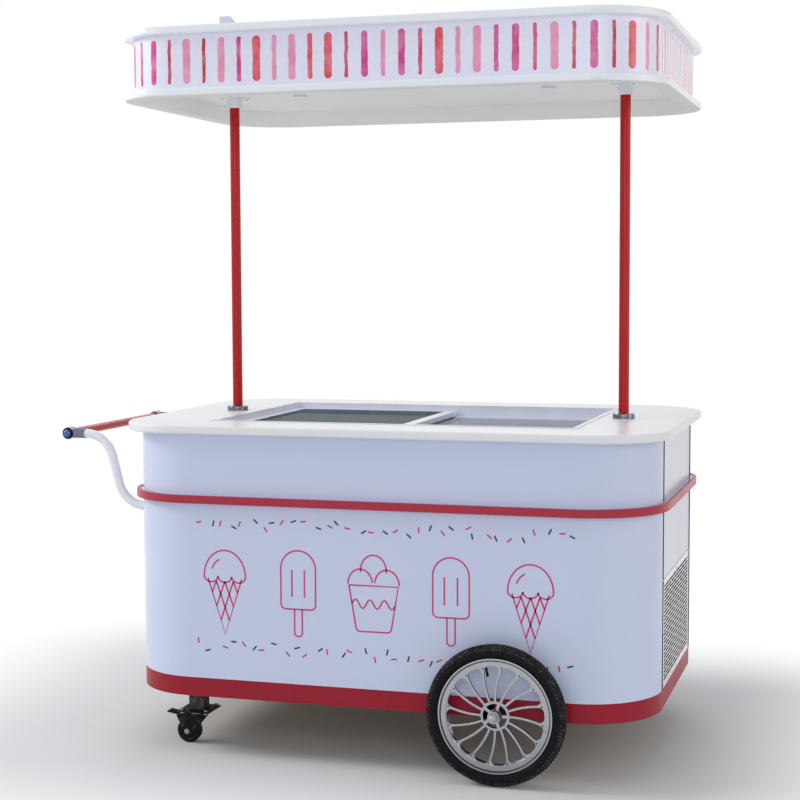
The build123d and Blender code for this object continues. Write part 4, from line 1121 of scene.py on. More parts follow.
class CART_OT_wheels(bpy.types.Operator):
    """Cast road wheels with rivets and valves, bearings, axle and nuts"""

    bl_idname = "cart.wheels"
    bl_label = "Road Wheels"

    def execute(self, context):
        sizes = context.scene.cart_sizes
        for name, side in SIDES.items():
            wheel = soft_copy("wheel_" + name, "cast_alloy", sizes.metal_edge)
            self.mark_polish_and_shade(wheel, middle("wheel_" + name))
            soft_copy("bearings_" + name, "zinc_steel", 0.5 * sizes.metal_edge)
            self.rivets(name, side, sizes.rivet_radius)
            self.valve(name, side)
        soft_copy("axle_nuts", "zinc_steel", sizes.metal_edge)
        self.axle()
        return {"FINISHED"}

    def mark_polish_and_shade(self, wheel, centre):
        """Note the polished faces, which keep the alloy's full colour: those square to the axle, and the
        rim's inner round; the other faces get painted shade.
        """
        rim = 141.8 * MM
        polish = wheel.data.attributes.new("polish", "FLOAT", "FACE")
        for face, mark in zip(wheel.data.polygons, polish.data):
            reach = math.hypot(face.center.x - centre.x, face.center.z - centre.z)
            mark.value = 1.0 if abs(face.normal.y) > 0.5 or reach > rim else 0.0

    def rivets(self, name, side, radius):
        """Small round heads where the spokes meet the rim."""
        spokes, tip_radius, tip_turn, web_face = 16, 137.5 * MM, math.radians(-7.8), 10.0 * MM
        root = -0.3 * radius
        dome = arc(0, 0, radius, 0.75 * radius, 90, 0, 6) + [(radius, root), (0, root)]
        first = Matrix.Rotation(tip_turn, 4, "Z") @ Matrix.Translation((tip_radius, 0, web_face))
        rivet = placed(lathe(dome, 14, closed=False), outward(side) @ first)
        ring = ring_of(name + "_spoke_rivets", rivet, spokes, middle("wheel_" + name), "cast_alloy")
        settle(ring, name + "_wheel", "cast_alloy")

    def valve(self, name, side):
        """Rubber valve stem with its ribbed cap, pointing at the hub."""
        angle, root, ribs, pitch = math.radians(102), 144 * MM, 5, 1.8
        profile = [(0, 0), (5, 0), (4.6, 3), (3.8, 6), (3.4, 18), (3.4, 20), (4.1, 20.6)]
        for rib in range(ribs):
            for radius, height in ((4.1, 21.2), (3.7, 21.8), (3.7, 22.4), (4.1, 22.8)):
                profile.append((radius, height + pitch * rib))
        profile += [(3.9, 31.5), (2.8, 33), (0, 33.4)]
        at_rim = Matrix.Rotation(angle, 4, "Z") @ Matrix.Translation((root, 0, 0))
        inward = at_rim @ Matrix.Rotation(-QUARTER, 4, "Y")
        stem = placed(turned(profile, 18, closed=False), stand_wheel(name, side) @ inward)
        keep(name + "_valve", stem, name + "_wheel", "tyre_rubber", material="black_plastic")

    def axle(self):
        """Fixed axle with threaded ends."""
        low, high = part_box("axle")
        radius, half = (high.z - low.z) / 2, (high.y - low.y) / 2
        pitch, thread, chamfer, run_out = 1.5 * MM, 21 * MM, 1.0 * MM, 2.5 * MM
        root, crest = radius - 0.75 * MM, radius - 0.05 * MM
        profile = [(0, half), (radius - 1.6 * MM, half), (root, half - chamfer)]
        for turn in range(int(thread / pitch)):
            level = half - chamfer - turn * pitch
            profile += [(crest, level - 0.4 * pitch), (crest, level - 0.55 * pitch), (root, level - pitch)]
        profile += [(radius, half - thread - run_out)]
        profile += [(reach, -height) for reach, height in reversed(profile)]
        stand = Matrix.Translation(middle("axle")) @ Matrix.Rotation(QUARTER, 4, "X")
        keep("axle_dressed", placed(lathe(profile, 32, closed=False), stand), "cart", "zinc_steel", "axle")


TYRE_SEAT, TYRE_FLANGE, TYRE_BEAD, TREAD_HALF = 157 * MM, 165 * MM, 14 * MM, 19 * MM
# Steps of the wall's round that stand out as rings
RAISED_RINGS = (7, 8, 11, 12, 25, 26)
# Rows of tread blocks: offset and width in millimetres, share of the pitch, stagger
TREAD_ROWS = ((4.3, 7.0, 0.66, 0.0), (12.2, 6.4, 0.62, 0.5), (19.4, 6.4, 0.6, 0.0))


class CART_OT_tyres(bpy.types.Operator):
    """Tyres with ribbed walls and block tread"""

    bl_idname = "cart.tyres"
    bl_label = "Tyres"

    def execute(self, context):
        sizes = context.scene.cart_sizes
        for name, side in SIDES.items():
            low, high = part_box("tyre_" + name)
            crown, half = (high.z - low.z) / 2, (high.y - low.y) / 2
            wall = placed(self.carcass(crown, half, sizes.tread_depth), stand_wheel(name, side))
            blocks = placed(self.tread_group(crown, half, sizes), outward(side))
            ring = ring_of(name + "_tread", blocks, sizes.tread_count, middle("tyre_" + name), "tyre_rubber")
            tread = ring.data
            bpy.data.objects.remove(ring)
            both = joined(mesh_from(wall, "carcass"), tread)
            keep(name + "_tyre", both, name + "_wheel", "tyre_rubber", "tyre_" + name)
        return {"FINISHED"}

    def wall_points(self, crown, half):
        """Three points of the wall's round: at the rim, at the widest place and at the tread."""
        return (TYRE_FLANGE, TYRE_BEAD), ((TYRE_SEAT + crown) / 2, half), (crown - half / 3, TREAD_HALF)

    def carcass(self, crown, half, depth):
        """Tyre body without its blocks: bead, ribbed wall and smooth base of the tread."""
        rise, edge = 0.45 * MM, crown - half / 3 - 0.3 * depth
        wall_steps, base_steps, round_steps = 34, 24, 160
        wall = []
        for step, (radius, height) in enumerate(arc_through(*self.wall_points(crown, half), wall_steps)):
            wall.append((radius, height + (rise if step in RAISED_RINGS else 0.0)))
        base = arc_through((edge, TREAD_HALF), (crown - depth, 0), (edge, -TREAD_HALF), base_steps)
        profile = [(TYRE_SEAT, TYRE_BEAD)] + wall + base[1:-1]
        profile += [(radius, -height) for radius, height in reversed(wall)] + [(TYRE_SEAT, -TYRE_BEAD)]
        body = lathe(profile, round_steps)
        body.faces.layers.float.new("tread")
        return body

    def tread_group(self, crown, half, sizes):
        """The blocks of one tread pitch, drawn about the wheel's centre."""
        drop_off = half / 3
        ball = (TREAD_HALF * TREAD_HALF + drop_off * drop_off) / (2 * drop_off)
        step = TAU / sizes.tread_count
        pitch = crown * step
        lug_reach, lug_stand = crown - 12 * MM, 1.2 * MM
        lug = (8 * MM, 0.52 * pitch, 1.8 * MM)
        centre, lift, wall = circle_through(*self.wall_points(crown, half))
        lug_lean = math.acos((lug_reach - centre) / wall)
        bm = bmesh.new()
        bm.faces.layers.float.new("tread")
        for hand in (-1, 1):
            half_step = 0.25 if hand > 0 else 0.0
            for offset, wide, fill, stagger in TREAD_ROWS:
                lean, size = hand * offset * MM / ball, (wide * MM, fill * pitch, sizes.tread_depth)
                self.block(bm, (crown - ball, 0.0), ball, lean, size, (stagger + half_step) * step)
            lean, turn = hand * lug_lean, (0.5 + half_step) * step
            self.block(bm, (centre, hand * lift), wall + lug_stand, lean, lug, turn)
        bmesh.ops.recalc_face_normals(bm, faces=bm.faces[:])
        return bm

    def block(self, bm, centre, ball, lean, size, turn):
        """One tapered block standing on the round of the tread; its size is width, length and depth."""
        wide, long, depth = size
        top, root, chamfer = ball - 0.25 * MM, 0.6 * MM, 0.4 * MM
        layers = []
        for level, spread in ((top - depth - root, 1.12), (top - chamfer, 0.96), (top, 0.8)):
            layer = []
            for across, along in ((-0.5, -0.5), (0.5, -0.5), (0.5, 0.5), (-0.5, 0.5)):
                side = across * wide * spread
                radius = centre[0] + level * math.cos(lean) - side * math.sin(lean)
                height = centre[1] + level * math.sin(lean) + side * math.cos(lean)
                angle = turn + along * long * spread / (centre[0] + ball)
                layer.append(bm.verts.new((radius * math.cos(angle), radius * math.sin(angle), height)))
            layers.append(layer)
        for low, high in zip(layers, layers[1:]):
            band(bm, low, high)
        bm.faces.new(layers[-1])[bm.faces.layers.float["tread"]] = 1.0


CASTER_PLATE = 4 * MM


class CART_OT_casters(bpy.types.Operator):
    """Braked swivel casters with their bolts"""

    bl_idname = "cart.casters"
    bl_label = "Casters"

    def execute(self, context):
        sizes = context.scene.cart_sizes
        soft_copy("caster_plates", "black_paint", sizes.metal_edge)
        for name in SIDES:
            soft_copy("caster_fork_" + name, "black_paint", sizes.metal_edge)
            soft_copy("caster_wheel_" + name, "black_plastic", sizes.moulded_edge)
            soft_copy("caster_brake_" + name, "black_plastic", 0.7 * sizes.moulded_edge)
            self.race(name)
            self.pin_bolts(name)
            self.pedal_ribs(name)
        self.plate_bolts()
        return {"FINISHED"}

    def race(self, name):
        """Zinc ball race that shows as a bright line under the plate."""
        low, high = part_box("caster_plates")
        place = ((low.x + high.x) / 2, middle("caster_fork_" + name).y, high.z - CASTER_PLATE)
        profile = [(29, 0), (32.2, 0), (33, -0.8), (33, -3.2), (32, -4.2), (30.4, -4.2)]
        profile += [(30.4, -5.4), (31.4, -6.2), (31.4, -7.4), (29, -7.4)]
        ring = placed(turned(profile, 48), Matrix.Translation(place))
        keep(name + "_caster_race", ring, "cart", "zinc_steel")

    def pin_bolts(self, name):
        """Hexagon heads on both ends of the roller pin."""
        low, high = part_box("caster_fork_" + name)
        roller = middle("caster_wheel_" + name)
        cheek = 4 * MM
        turns = zip(ends(low.y, high.y, cheek), (QUARTER, -QUARTER))
        spots = [((roller.x, y, roller.z), (turn, 0.0, 0.0)) for y, turn in turns]
        set_on(name + "_roller_bolts", hex_head(14.6 * MM, 4.0 * MM), spots, name + "_caster", "zinc_steel")

    def pedal_ribs(self, name):
        """Grip ribs across the brake pedal."""
        low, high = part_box("caster_brake_" + name)
        foot, crest, rise, sunk = 1.1 * MM, 0.7 * MM, 0.9 * MM, 1.0 * MM
        first, pitch, ribs, slope, half = 5 * MM, 5.2 * MM, 5, 5.0 / 30.5, 0.43 * (high.y - low.y)
        rib = prism([(-foot, -sunk), (foot, -sunk), (crest, rise), (-crest, rise)], half)
        spots = []
        for step in range(ribs):
            along = first + step * pitch
            place = (low.x + along, (low.y + high.y) / 2, high.z - slope * along - rise)
            spots.append((place, (0.0, math.atan(slope), 0.0)))
        set_on(name + "_pedal_ribs", rib, spots, name + "_brake", "black_plastic")

    def plate_bolts(self):
        """Four bolts through each caster plate."""
        low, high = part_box("caster_plates")
        inset, side = 13 * MM, high.x - low.x
        spots = []
        for start in (low.y, high.y - side):
            for x in ends(low.x, high.x, inset):
                for y in ends(start, start + side, inset):
                    spots.append(((x, y, high.z - CASTER_PLATE), (math.pi, 0.0, 0.0)))
                    spots.append(((x, y, high.z), (0.0, 0.0, 0.0)))
        set_on("caster_plate_bolts", hex_head(13 * MM, 5.5 * MM), spots, "cart", "zinc_steel")


class CART_OT_chassis(bpy.types.Operator):
    """Chassis tubes, floor board and inner frame"""

    bl_idname = "cart.chassis"
    bl_label = "Chassis"

    def execute(self, context):
        soft_copy("chassis_frame", "chassis_paint", 1.4 * context.scene.cart_sizes.metal_edge)
        dress("floor_board", "floor_grey")
        dress("body_frame", "chassis_paint")
        return {"FINISHED"}


class CART_OT_canopy(bpy.types.Operator):
    """Posts, sockets, rims, ceiling, lamps and roof"""

    bl_idname = "cart.canopy"
    bl_label = "Canopy"

    def execute(self, context):
        sizes = context.scene.cart_sizes
        edge = sizes.panel_edge
        dress("canopy_posts", "red_paint")
        soft_copy("post_flanges", "chrome", 0.6 * sizes.metal_edge)
        soft_copy("post_sockets", "white_paint", edge)
        self.under_white(soft_copy("canopy_lower_rim", "white_panel", 0.6 * edge, material="canopy_white"))
        soft_copy("canopy_roof", "white_panel", 0.6 * edge, material="canopy_white")
        soft_copy("roof_cover", "white_pvc", 1.6 * edge, rounds=3)
        soft_copy("canopy_lights", "white_pvc", 0.5 * edge)
        dress("canopy_frame", "frame_white")
        dress("canopy_ceiling", "ceiling_white")
        self.grub_screws()
        self.socket_screws()
        self.lenses()
        return {"FINISHED"}

    def under_white(self, rim):
        """Matt white on the rim's underside and inner edge, like the ceiling's; the underside's is darkened
        as painted shade and the inner edge's lightened as painted light.
        """
        centre = middle("canopy_lower_rim")
        repaint(rim, "frame_white", lambda place, normal: (place - centre).xy.dot(normal.xy) < -0.05)
        repaint(rim, "rim_under", lambda place, normal: normal.z < -0.5)

    def post_lines(self):
        """Centre lines of the two posts."""
        low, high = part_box("canopy_posts")
        radius = (high.y - low.y) / 2
        return [(x, low.y + radius) for x in ends(low.x, high.x, radius)]

    def grub_screws(self):
        """Sunk socket screws round the side of each flange."""
        low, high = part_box("post_flanges")
        radius, share = (high.y - low.y) / 2, 0.42
        level = low.z + share * (high.z - low.z)
        cup = [(0, -1.2), (1.6, -1.2), (1.6, 0.25), (2.9, 0.25), (3.2, -0.4), (0, -0.4)]
        spots = []
        for x, y in self.post_lines():
            for angle in (-0.5 * QUARTER, 0.5 * QUARTER, 1.5 * QUARTER, 2.5 * QUARTER):
                place = (x + radius * math.cos(angle), y + radius * math.sin(angle), level)
                spots.append((place, (0.0, QUARTER, angle)))
        set_on("flange_screws", turned(cup, 16, closed=False), spots, "cart", "zinc_steel")

    def socket_screws(self):
        """Four screws in each socket plate under the ceiling."""
        low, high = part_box("post_sockets")
        plate, spread = 4 * MM, 0.74
        reach, face = spread * (high.y - low.y) / 2, high.z - plate
        spots = []
        for x, y in self.post_lines():
            for across in (x - reach, x + reach):
                for along in (y - reach, y + reach):
                    spots.append(((across, along, face), (math.pi, 0.0, 0.0)))
        set_on("socket_screws", button_screw(4.0 * MM, 2.0 * MM), spots, "cart", "zinc_steel")

    def lenses(self):
        """Ringed lenses sunk in the ceiling lamps."""
        low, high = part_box("canopy_lights")
        puck = (high.y - low.y) / 2
        rim, seat, rings = 4.2, 1.3 * MM, 7
        radius = puck / MM - rim
        profile = [(0, -1.0)]
        for ring in range(1, rings + 1):
            reach, dome = radius * ring / rings, -1.0 + 0.7 * (ring / rings) ** 2
            profile += [(reach - 1.4, dome), (reach - 0.4, dome + 0.35), (reach, dome + 0.05)]
        profile += [(radius, 0.9), (0, 0.9)]
        line = (low.y + high.y) / 2
        spots = [((x, line, low.z + seat), (0.0, 0.0, 0.0)) for x in ends(low.x, high.x, puck)]
        set_on("lamp_lenses", turned(profile, 40, closed=False), spots, "cart", "light_lens")


FASCIA_RADIUS, FASCIA_SHEET = 185 * MM, 4 * MM
NO_PRINT = (-1.0, -1.0)


def fascia_outline(inset=0.0):
    """Points round the fascia's outer face, or within it, seen from above."""
    low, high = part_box("canopy_fascia")
    radius, centre = FASCIA_RADIUS - inset, (low + high) / 2
    half_x, half_y = (high.x - low.x) / 2 - inset - radius, (high.y - low.y) / 2 - inset - radius
    quarters = ((half_x, -half_y, -90), (half_x, half_y, 0), (-half_x, half_y, 90), (-half_x, -half_y, 180))
    points = []
    for x, y, start in quarters:
        points += arc(centre.x + x, centre.y + y, radius, radius, start, start + 90, 18)
    return points


def outline_runs(points):
    """Distance along a closed outline to each of its points and back to the first."""
    runs = [0.0]
    for first, second in zip(points, points[1:] + points[:1]):
        runs.append(runs[-1] + math.dist(first, second))
    return runs


def fascia_run():
    return outline_runs(fascia_outline())[-1]


class CART_OT_fascia(bpy.types.Operator):
    """Printed band round the canopy, with a print map that runs along it"""

    bl_idname = "cart.fascia"
    bl_label = "Striped Fascia"

    def execute(self, context):
        low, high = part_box("canopy_fascia")
        outer, inner = fascia_outline(), fascia_outline(FASCIA_SHEET)
        runs = outline_runs(outer)
        bm = bmesh.new()
        print_map = bm.loops.layers.uv.new("print")
        columns = []
        for far, near in zip(outer, inner):
            corners = (far + (low.z,), far + (high.z,), near + (high.z,), near + (low.z,))
            columns.append([bm.verts.new(corner) for corner in corners])
        levels = ((0.0, high.z - low.z), NO_PRINT, NO_PRINT, NO_PRINT)
        for step, column in enumerate(columns):
            ahead = columns[(step + 1) % len(columns)]
            here, there = runs[step], runs[step + 1]
            for side, (start, end) in enumerate(levels):
                after = (side + 1) % 4
                face = bm.faces.new((column[side], ahead[side], ahead[after], column[after]))
                marks = ((here, start), (there, start), (there, end), (here, end))
                for loop, mark in zip(face.loops, marks):
                    loop[print_map].uv = mark
        bmesh.ops.recalc_face_normals(bm, faces=bm.faces[:])
        keep("striped_fascia", bm, "cart", "fascia_print", "canopy_fascia")
        return {"FINISHED"}


class CART_OT_handle(bpy.types.Operator):
    """Push handle with its sleeves and domed caps"""

    bl_idname = "cart.handle"
    bl_label = "Push Handle"

    def execute(self, context):
        dress("handle_tubes", "white_paint")
        soft_copy("handle_sleeves", "chrome", 0.6 * context.scene.cart_sizes.metal_edge)
        dress("handle_crossbar", "red_paint")
        self.caps()
        self.wall_collars()
        return {"FINISHED"}

    def caps(self):
        """Dark ring with a blue dome in it on each end of the crossbar."""
        reach = (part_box("handle_caps")[1].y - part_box("handle_crossbar")[1].y) / MM
        top, edge, radius, foot = reach - 0.02, 4.0, 12.4, 1.0
        ring = [(9, 0.1), (16.6, 0.1), (16.9, 0.5), (16.9, 3.0), (16.3, 3.8), (14.2, 3.9)]
        ring += [(12.9, 3.2), (9, 3.0)]
        dome = [(0, top)] + arc(0, edge, radius, top - edge, 90, 0, 16)[1:] + [(radius, foot), (0, foot)]
        keep("handle_cap_rings", self.both_ends(ring, True), "cart", "cap_blue", material="black_plastic")
        keep("handle_cap_domes", self.both_ends(dome, False), "cart", "cap_blue", "handle_caps")

    def both_ends(self, profile, closed):
        """A turned shape on each end of the crossbar."""
        low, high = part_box("handle_crossbar")
        centre = (low + high) / 2
        meshes = []
        for y, turn in ((low.y, QUARTER), (high.y, -QUARTER)):
            stand = Matrix.Translation((centre.x, y, centre.z)) @ Matrix.Rotation(turn, 4, "X")
            meshes.append(mesh_from(placed(turned(profile, 40, closed), stand), "cap"))
        return joined(*meshes)

    def wall_collars(self):
        """Small turned collars where the tubes enter the end panel."""
        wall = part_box("lower_left_panel")[0].x
        low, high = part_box("handle_tubes")
        tube = 14 * MM
        profile = [(14.15, -5), (23, -5), (23, 1.6), (21.6, 2.8), (17.2, 3.4), (16.2, 6.0), (14.15, 6.4)]
        spots = [((wall, y, low.z + tube), (0.0, -QUARTER, 0.0)) for y in ends(low.y, high.y, tube)]
        set_on("handle_collars", turned(profile, 40), spots, "cart", "white_paint")


class CART_OT_controls(bpy.types.Operator):
    """Control panel, dial knob and rocker on the seller's side"""

    bl_idname = "cart.controls"
    bl_label = "Controls"

    def execute(self, context):
        edge = context.scene.cart_sizes.metal_edge
        soft_copy("control_panel", "panel_grey", edge)
        soft_copy("thermostat_knob", "black_plastic", edge)
        soft_copy("power_switch", "switch_red", edge)
        self.knob_ribs()
        self.dial_marks()
        self.panel_screws()
        return {"FINISHED"}

    def knob_ribs(self):
        """Round ribs down the side of the knob."""
        low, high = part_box("thermostat_knob")
        count, set_back, sunk = 28, 7.5 * MM, 0.2 * MM
        rib = turned([(0, -5), (0.9, -5), (0.9, 4.2), (0.5, 5.2), (0, 5.2)], 8, closed=False)
        at_rim = Matrix.Translation(((high.z - low.z) / 2 - sunk, 0, 0))
        placed(rib, at_rim @ Matrix.Rotation(-QUARTER, 4, "X"))
        centre = middle("thermostat_knob")
        centre.y = high.y - set_back
        settle(ring_of("knob_ribs", rib, count, centre, "black_plastic"), "knob", "black_plastic")

    def dial_marks(self):
        """Tick marks printed round the knob, from its rest at the top through the whole of its turn."""
        centre, face = middle("thermostat_knob"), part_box("control_panel")[1].y
        marks, spacing, reach = 11, 27, 24 * MM
        spots = []
        for step in range(marks):
            angle = math.radians(90 + spacing * step)
            place = (centre.x + reach * math.cos(angle), face, centre.z + reach * math.sin(angle))
            spots.append((place, (0.0, -angle, 0.0)))
        set_on("dial_marks", bar_mark(5.0 * MM, 1.1 * MM, 0.3 * MM), spots, "cart", "white_pvc")

    def panel_screws(self):
        """Screws in the panel's corners."""
        low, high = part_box("control_panel")
        inset = 7 * MM
        spots = []
        for x in ends(low.x, high.x, inset):
            for z in ends(low.z, high.z, inset):
                spots.append(((x, high.y, z), (-QUARTER, 0.0, 0.0)))
        set_on("control_screws", button_screw(2.8 * MM, 1.4 * MM), spots, "cart", "zinc_steel")


# Cut film on the front panel: plain drawings of frozen treats, in millimetres about their middles


def cone_lines():
    """Waffle cone with one scoop."""
    rim, tip, lattice = 36.0, -112.0, -6.0
    lines = [[(-rim, 0), (0, tip), (rim, 0)], arc(0, 4, 44, 52, 0, 180, 30)]
    lines += [arc(centre, 4, 14.7, 12, 180, 360, 14) for centre in (-29.3, 0.0, 29.3)]
    for share in (0.25, 0.5, 0.75):
        for hand in (-1, 1):
            lines.append([(hand * rim * (1 - 2 * share), lattice), (hand * rim * (1 - share), tip * share)])
    lines.append(arc(0, 6, 29, 34, 112, 158, 10))
    return lines


def lolly_lines():
    """Ice lolly on a stick."""
    shell = [(-36, -44)] + arc(0, 26, 36, 36, 180, 0, 26) + [(36, -44)]
    shell += arc(26, -44, 10, 10, 0, -90, 8) + arc(-26, -44, 10, 10, 270, 180, 8)
    stick = [(-8, -54), (-8, -100)] + arc(0, -100, 8, 8, 180, 360, 12) + [(8, -54)]
    return [shell, stick, [(-13, 24), (-13, -30)], [(13, 24), (13, -30)]]


def cup_lines():
    """Paper cup with three scoops and a wavy band."""
    cup = [(-50, 0), (-36, -82)] + arc(-28, -82, 8, 8, 180, 270, 6)
    cup += arc(28, -82, 8, 8, 270, 360, 6) + [(50, 0), (-50, 0)]
    lines = [cup, arc(-27, 2, 25, 30, 8, 180, 20), arc(27, 2, 25, 30, 0, 172, 20)]
    lines.append(arc(0, 30, 26, 30, -8, 188, 24))
    shares = [step / 24 for step in range(25)]
    lines.append([(-44 + 88 * share, -36 + 9 * math.sin(TAU * 3 * share)) for share in shares])
    return lines


class CART_OT_graphics(bpy.types.Operator):
    """Cut film drawings and sprinkles on the lower front panel"""

    bl_idname = "cart.graphics"
    bl_label = "Front Film"

    def execute(self, context):
        sizes = context.scene.cart_sizes
        low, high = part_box("lower_front_shell")
        proud, row_level = 0.4, 0.575
        centre, face = (low.x + high.x) / 2, low.y - proud * sizes.film_thickness
        path = self.film_path((cone_lines(), lolly_lines(), cup_lines(), lolly_lines(), cone_lines()))
        values = {"Path": path, "Width": sizes.film_width, "Thickness": sizes.film_thickness}
        piece = grow("film_drawings", "strip_along_path", values | {"Material": finish("vinyl_pink")})
        drop(path)
        spot = Matrix.Translation((centre, face, low.z + row_level * (high.z - low.z)))
        piece.data.transform(spot @ Matrix.Rotation(QUARTER, 4, "X"))
        settle(piece, "cart", "fascia_print")
        self.sprinkles(centre, face, low, high, sizes.film_thickness)
        return {"FINISHED"}

    def film_path(self, drawings):
        """Drawings in a row, as one curve."""
        spread, size = 232 * MM, 1.5 * MM
        curve = bpy.data.curves.new("film_path", "CURVE")
        curve.dimensions = "3D"
        for place, lines in enumerate(drawings):
            shift = (place - len(drawings) // 2) * spread
            for line in lines:
                spline = curve.splines.new("POLY")
                spline.points.add(len(line) - 1)
                for point, (x, y) in zip(spline.points, line):
                    point.co = (shift + size * x, size * y, 0.0, 1.0)
        return link("film_path", curve)

    def sprinkles(self, centre, face, low, high, thickness):
        """Short strips scattered in two loose bands above and below the drawings."""
        pitch, stray, lift, reach, bands = 68 * MM, 12 * MM, 16 * MM, 8, (0.885, 0.19)
        chance = random.Random(11)
        for colour, offset in (("pink", 0.0), ("navy", 0.5)):
            spots = []
            for level in bands:
                for step in range(-reach, reach + 1):
                    x = centre + (step + offset) * pitch + chance.uniform(-stray, stray)
                    z = low.z + level * (high.z - low.z) + chance.uniform(-lift, lift)
                    spots.append(((x, face, z), (0.0, chance.uniform(0, math.pi), 0.0)))
            mark = bar_mark(19 * MM, 5 * MM, thickness / 2)
            set_on("film_sprinkles_" + colour, mark, spots, "cart", "fascia_print", "vinyl_" + colour)


# Stage

FLOOR_FADE = 0.9
FLOOR_GREY = (0.8, 0.8, 0.8, 1.0)
SKY_TINT = (0.92, 0.95, 1.0, 1.0)
LIGHT_AIM = Vector((0.1, 0.0, 1.0))
LIGHTS = (
    ("key_light", "key_power", (-5.4, -1.4, 4.2), 2.6, (1.0, 0.985, 0.96)),
    ("front_light", "fill_power", (1.6, -6.4, 2.5), 4.0, (0.87, 0.93, 1.0)),
    ("top_light", "top_power", (0.6, -0.4, 5.6), 4.0, (1.0, 1.0, 1.0)),
    ("right_light", "side_power", (5.2, -0.4, 2.2), 3.0, (1.0, 0.9, 0.8)),
    ("rear_light", "back_power", (-1.0, 5.2, 4.6), 3.5, (1.0, 1.0, 1.0)),
)


def seen_directly(tree):
    """One for camera, mirror and glass rays, which see the surround as white."""
    path = add_node(tree, "ShaderNodeLightPath").outputs
    clear = calc(tree, "MAXIMUM", path["Is Camera Ray"], path["Is Transmission Ray"])
    return calc(tree, "MAXIMUM", clear, path["Is Glossy Ray"])


def blend_out(tree, kind, factor, first, second):
    """End of a tree: one shader turning into another."""
    both = add_node(tree, "ShaderNodeMixShader", {0: factor, 1: first.outputs[0], 2: second.outputs[0]})
    add_node(tree, kind, {"Surface": both.outputs[0]})


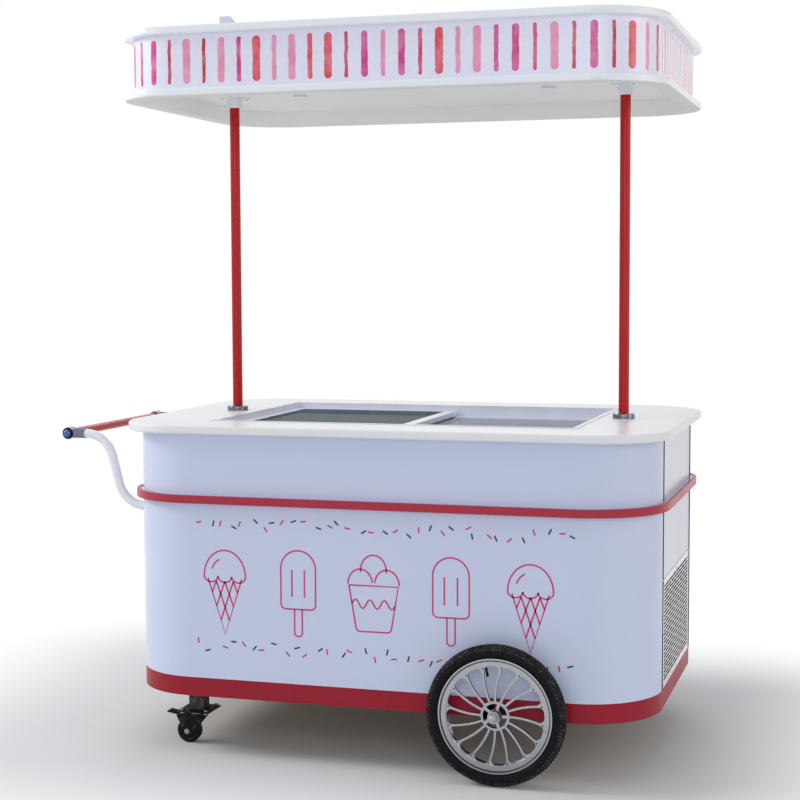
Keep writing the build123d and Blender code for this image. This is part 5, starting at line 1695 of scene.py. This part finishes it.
class CART_OT_stage(bpy.types.Operator):
    """Floor, soft lights, white surround and camera"""

    bl_idname = "cart.stage"
    bl_label = "Stage"

    def execute(self, context):
        stage = context.scene.cart_stage
        context.scene.view_settings.view_transform = "Standard"
        self.floor(stage.floor_size)
        self.surround(context.scene, stage.sky)
        self.lights(stage)
        self.camera(context.scene, stage)
        return {"FINISHED"}

    def floor(self, size):
        """Pale floor that turns white away from the cart."""
        half = size / 2
        corners = [(-half, -half, 0), (half, -half, 0), (half, half, 0), (-half, half, 0)]
        mesh = bpy.data.meshes.new("floor")
        mesh.from_pydata(corners, [], [(0, 1, 2, 3)])
        material = bpy.data.materials.new("floor_white")
        tree = bare_tree(material)
        spot = axes(tree, own_place(tree))
        gaps = []
        for axis, reach in (("X", cad_box[1][0]), ("Y", cad_box[1][1])):
            gap = calc(tree, "SUBTRACT", calc(tree, "ABSOLUTE", spot[axis]), reach)
            gaps.append(calc(tree, "MAXIMUM", gap, 0.0))
        away = ease(tree, reach_of(tree, *gaps), 0.0, FLOOR_FADE)
        paint = add_node(tree, "ShaderNodeBsdfDiffuse", {"Color": FLOOR_GREY})
        glow = add_node(tree, "ShaderNodeEmission", {"Color": WHITE, "Strength": 1.0})
        shown = calc(tree, "MULTIPLY", away, seen_directly(tree))
        blend_out(tree, "ShaderNodeOutputMaterial", shown, paint, glow)
        mesh.materials.append(material)
        link("floor", mesh)

    def surround(self, scene, strength):
        """Even light for the cart, and plain white for what looks past it."""
        scene.world = bpy.data.worlds.new("white_surround")
        tree = bare_tree(scene.world)
        even = add_node(tree, "ShaderNodeBackground", {"Color": SKY_TINT, "Strength": strength})
        white = add_node(tree, "ShaderNodeBackground", {"Color": WHITE, "Strength": 1.0})
        blend_out(tree, "ShaderNodeOutputWorld", seen_directly(tree), even, white)

    def lights(self, stage):
        """Large round lamps, all turned to the middle of the cart."""
        for name, power, place, size, colour in LIGHTS:
            data = bpy.data.lights.new(name, "AREA")
            data.energy = getattr(stage, power)
            data.shape = "DISK"
            data.size = size
            data.color = colour
            lamp = link(name, data)
            lamp.location = place
            lamp.rotation_euler = (LIGHT_AIM - Vector(place)).to_track_quat("-Z", "Y").to_euler()

    def camera(self, scene, stage):
        """Camera from its place, yaw, pitch and roll."""
        data = bpy.data.cameras.new("camera")
        data.lens = stage.lens
        data.sensor_width = 36.0
        yaw, pitch, roll = stage.camera_turn
        forward = Vector((-math.sin(yaw) * math.cos(pitch), math.cos(yaw) * math.cos(pitch), math.sin(pitch)))
        right = Vector((math.cos(yaw), math.sin(yaw), 0.0))
        up = right.cross(forward)
        across = right * math.cos(roll) + up * math.sin(roll)
        upright = up * math.cos(roll) - right * math.sin(roll)
        turn = Matrix((across, upright, -forward)).transposed()
        scene.camera = link("camera", data)
        scene.camera.matrix_world = Matrix.Translation(stage.camera_place) @ turn.to_4x4()


PIECE_OPERATORS = (
    CART_OT_chassis,
    CART_OT_cabinet,
    CART_OT_grille,
    CART_OT_counter,
    CART_OT_lids,
    CART_OT_wheels,
    CART_OT_tyres,
    CART_OT_casters,
    CART_OT_canopy,
    CART_OT_fascia,
    CART_OT_handle,
    CART_OT_controls,
    CART_OT_graphics,
)


class CART_PT_panel(bpy.types.Panel):
    """Sidebar list of the cart's makers"""

    bl_idname = "CART_PT_panel"
    bl_label = "Push Cart"
    bl_space_type = "VIEW_3D"
    bl_region_type = "UI"
    bl_category = "Push Cart"

    def draw(self, context):
        for maker in PIECE_OPERATORS + (CART_OT_stage,):
            self.layout.operator(maker.bl_idname)
        for group in (context.scene.cart_sizes, context.scene.cart_colours, context.scene.cart_stage):
            for name in group.__annotations__:
                self.layout.prop(group, name)


GROUPS = {"cart_colours": CartColours, "cart_sizes": CartSizes, "cart_stage": CartStage}
CLASSES = tuple(GROUPS.values()) + PIECE_OPERATORS + (CART_OT_stage, CART_PT_panel)


def register():
    for item in CLASSES:
        bpy.utils.register_class(item)
    for name, group in GROUPS.items():
        setattr(bpy.types.Scene, name, bpy.props.PointerProperty(type=group))


def unregister():
    for name in GROUPS:
        delattr(bpy.types.Scene, name)
    for item in reversed(CLASSES):
        bpy.utils.unregister_class(item)


def clear_start_objects():
    """Take out what a new Blender file holds besides the frame."""
    held = set(frame["nodes"].values()) | set(frame["bodies"].values())
    for thing in list(bpy.data.objects):
        if thing not in held:
            bpy.data.objects.remove(thing)


def main():
    clear_start_objects()
    register()
    bpy.ops.cart.stage()
    for maker in PIECE_OPERATORS:
        family, name = maker.bl_idname.split(".")
        getattr(getattr(bpy.ops, family), name)()


if __name__ == "__main__":
    main()
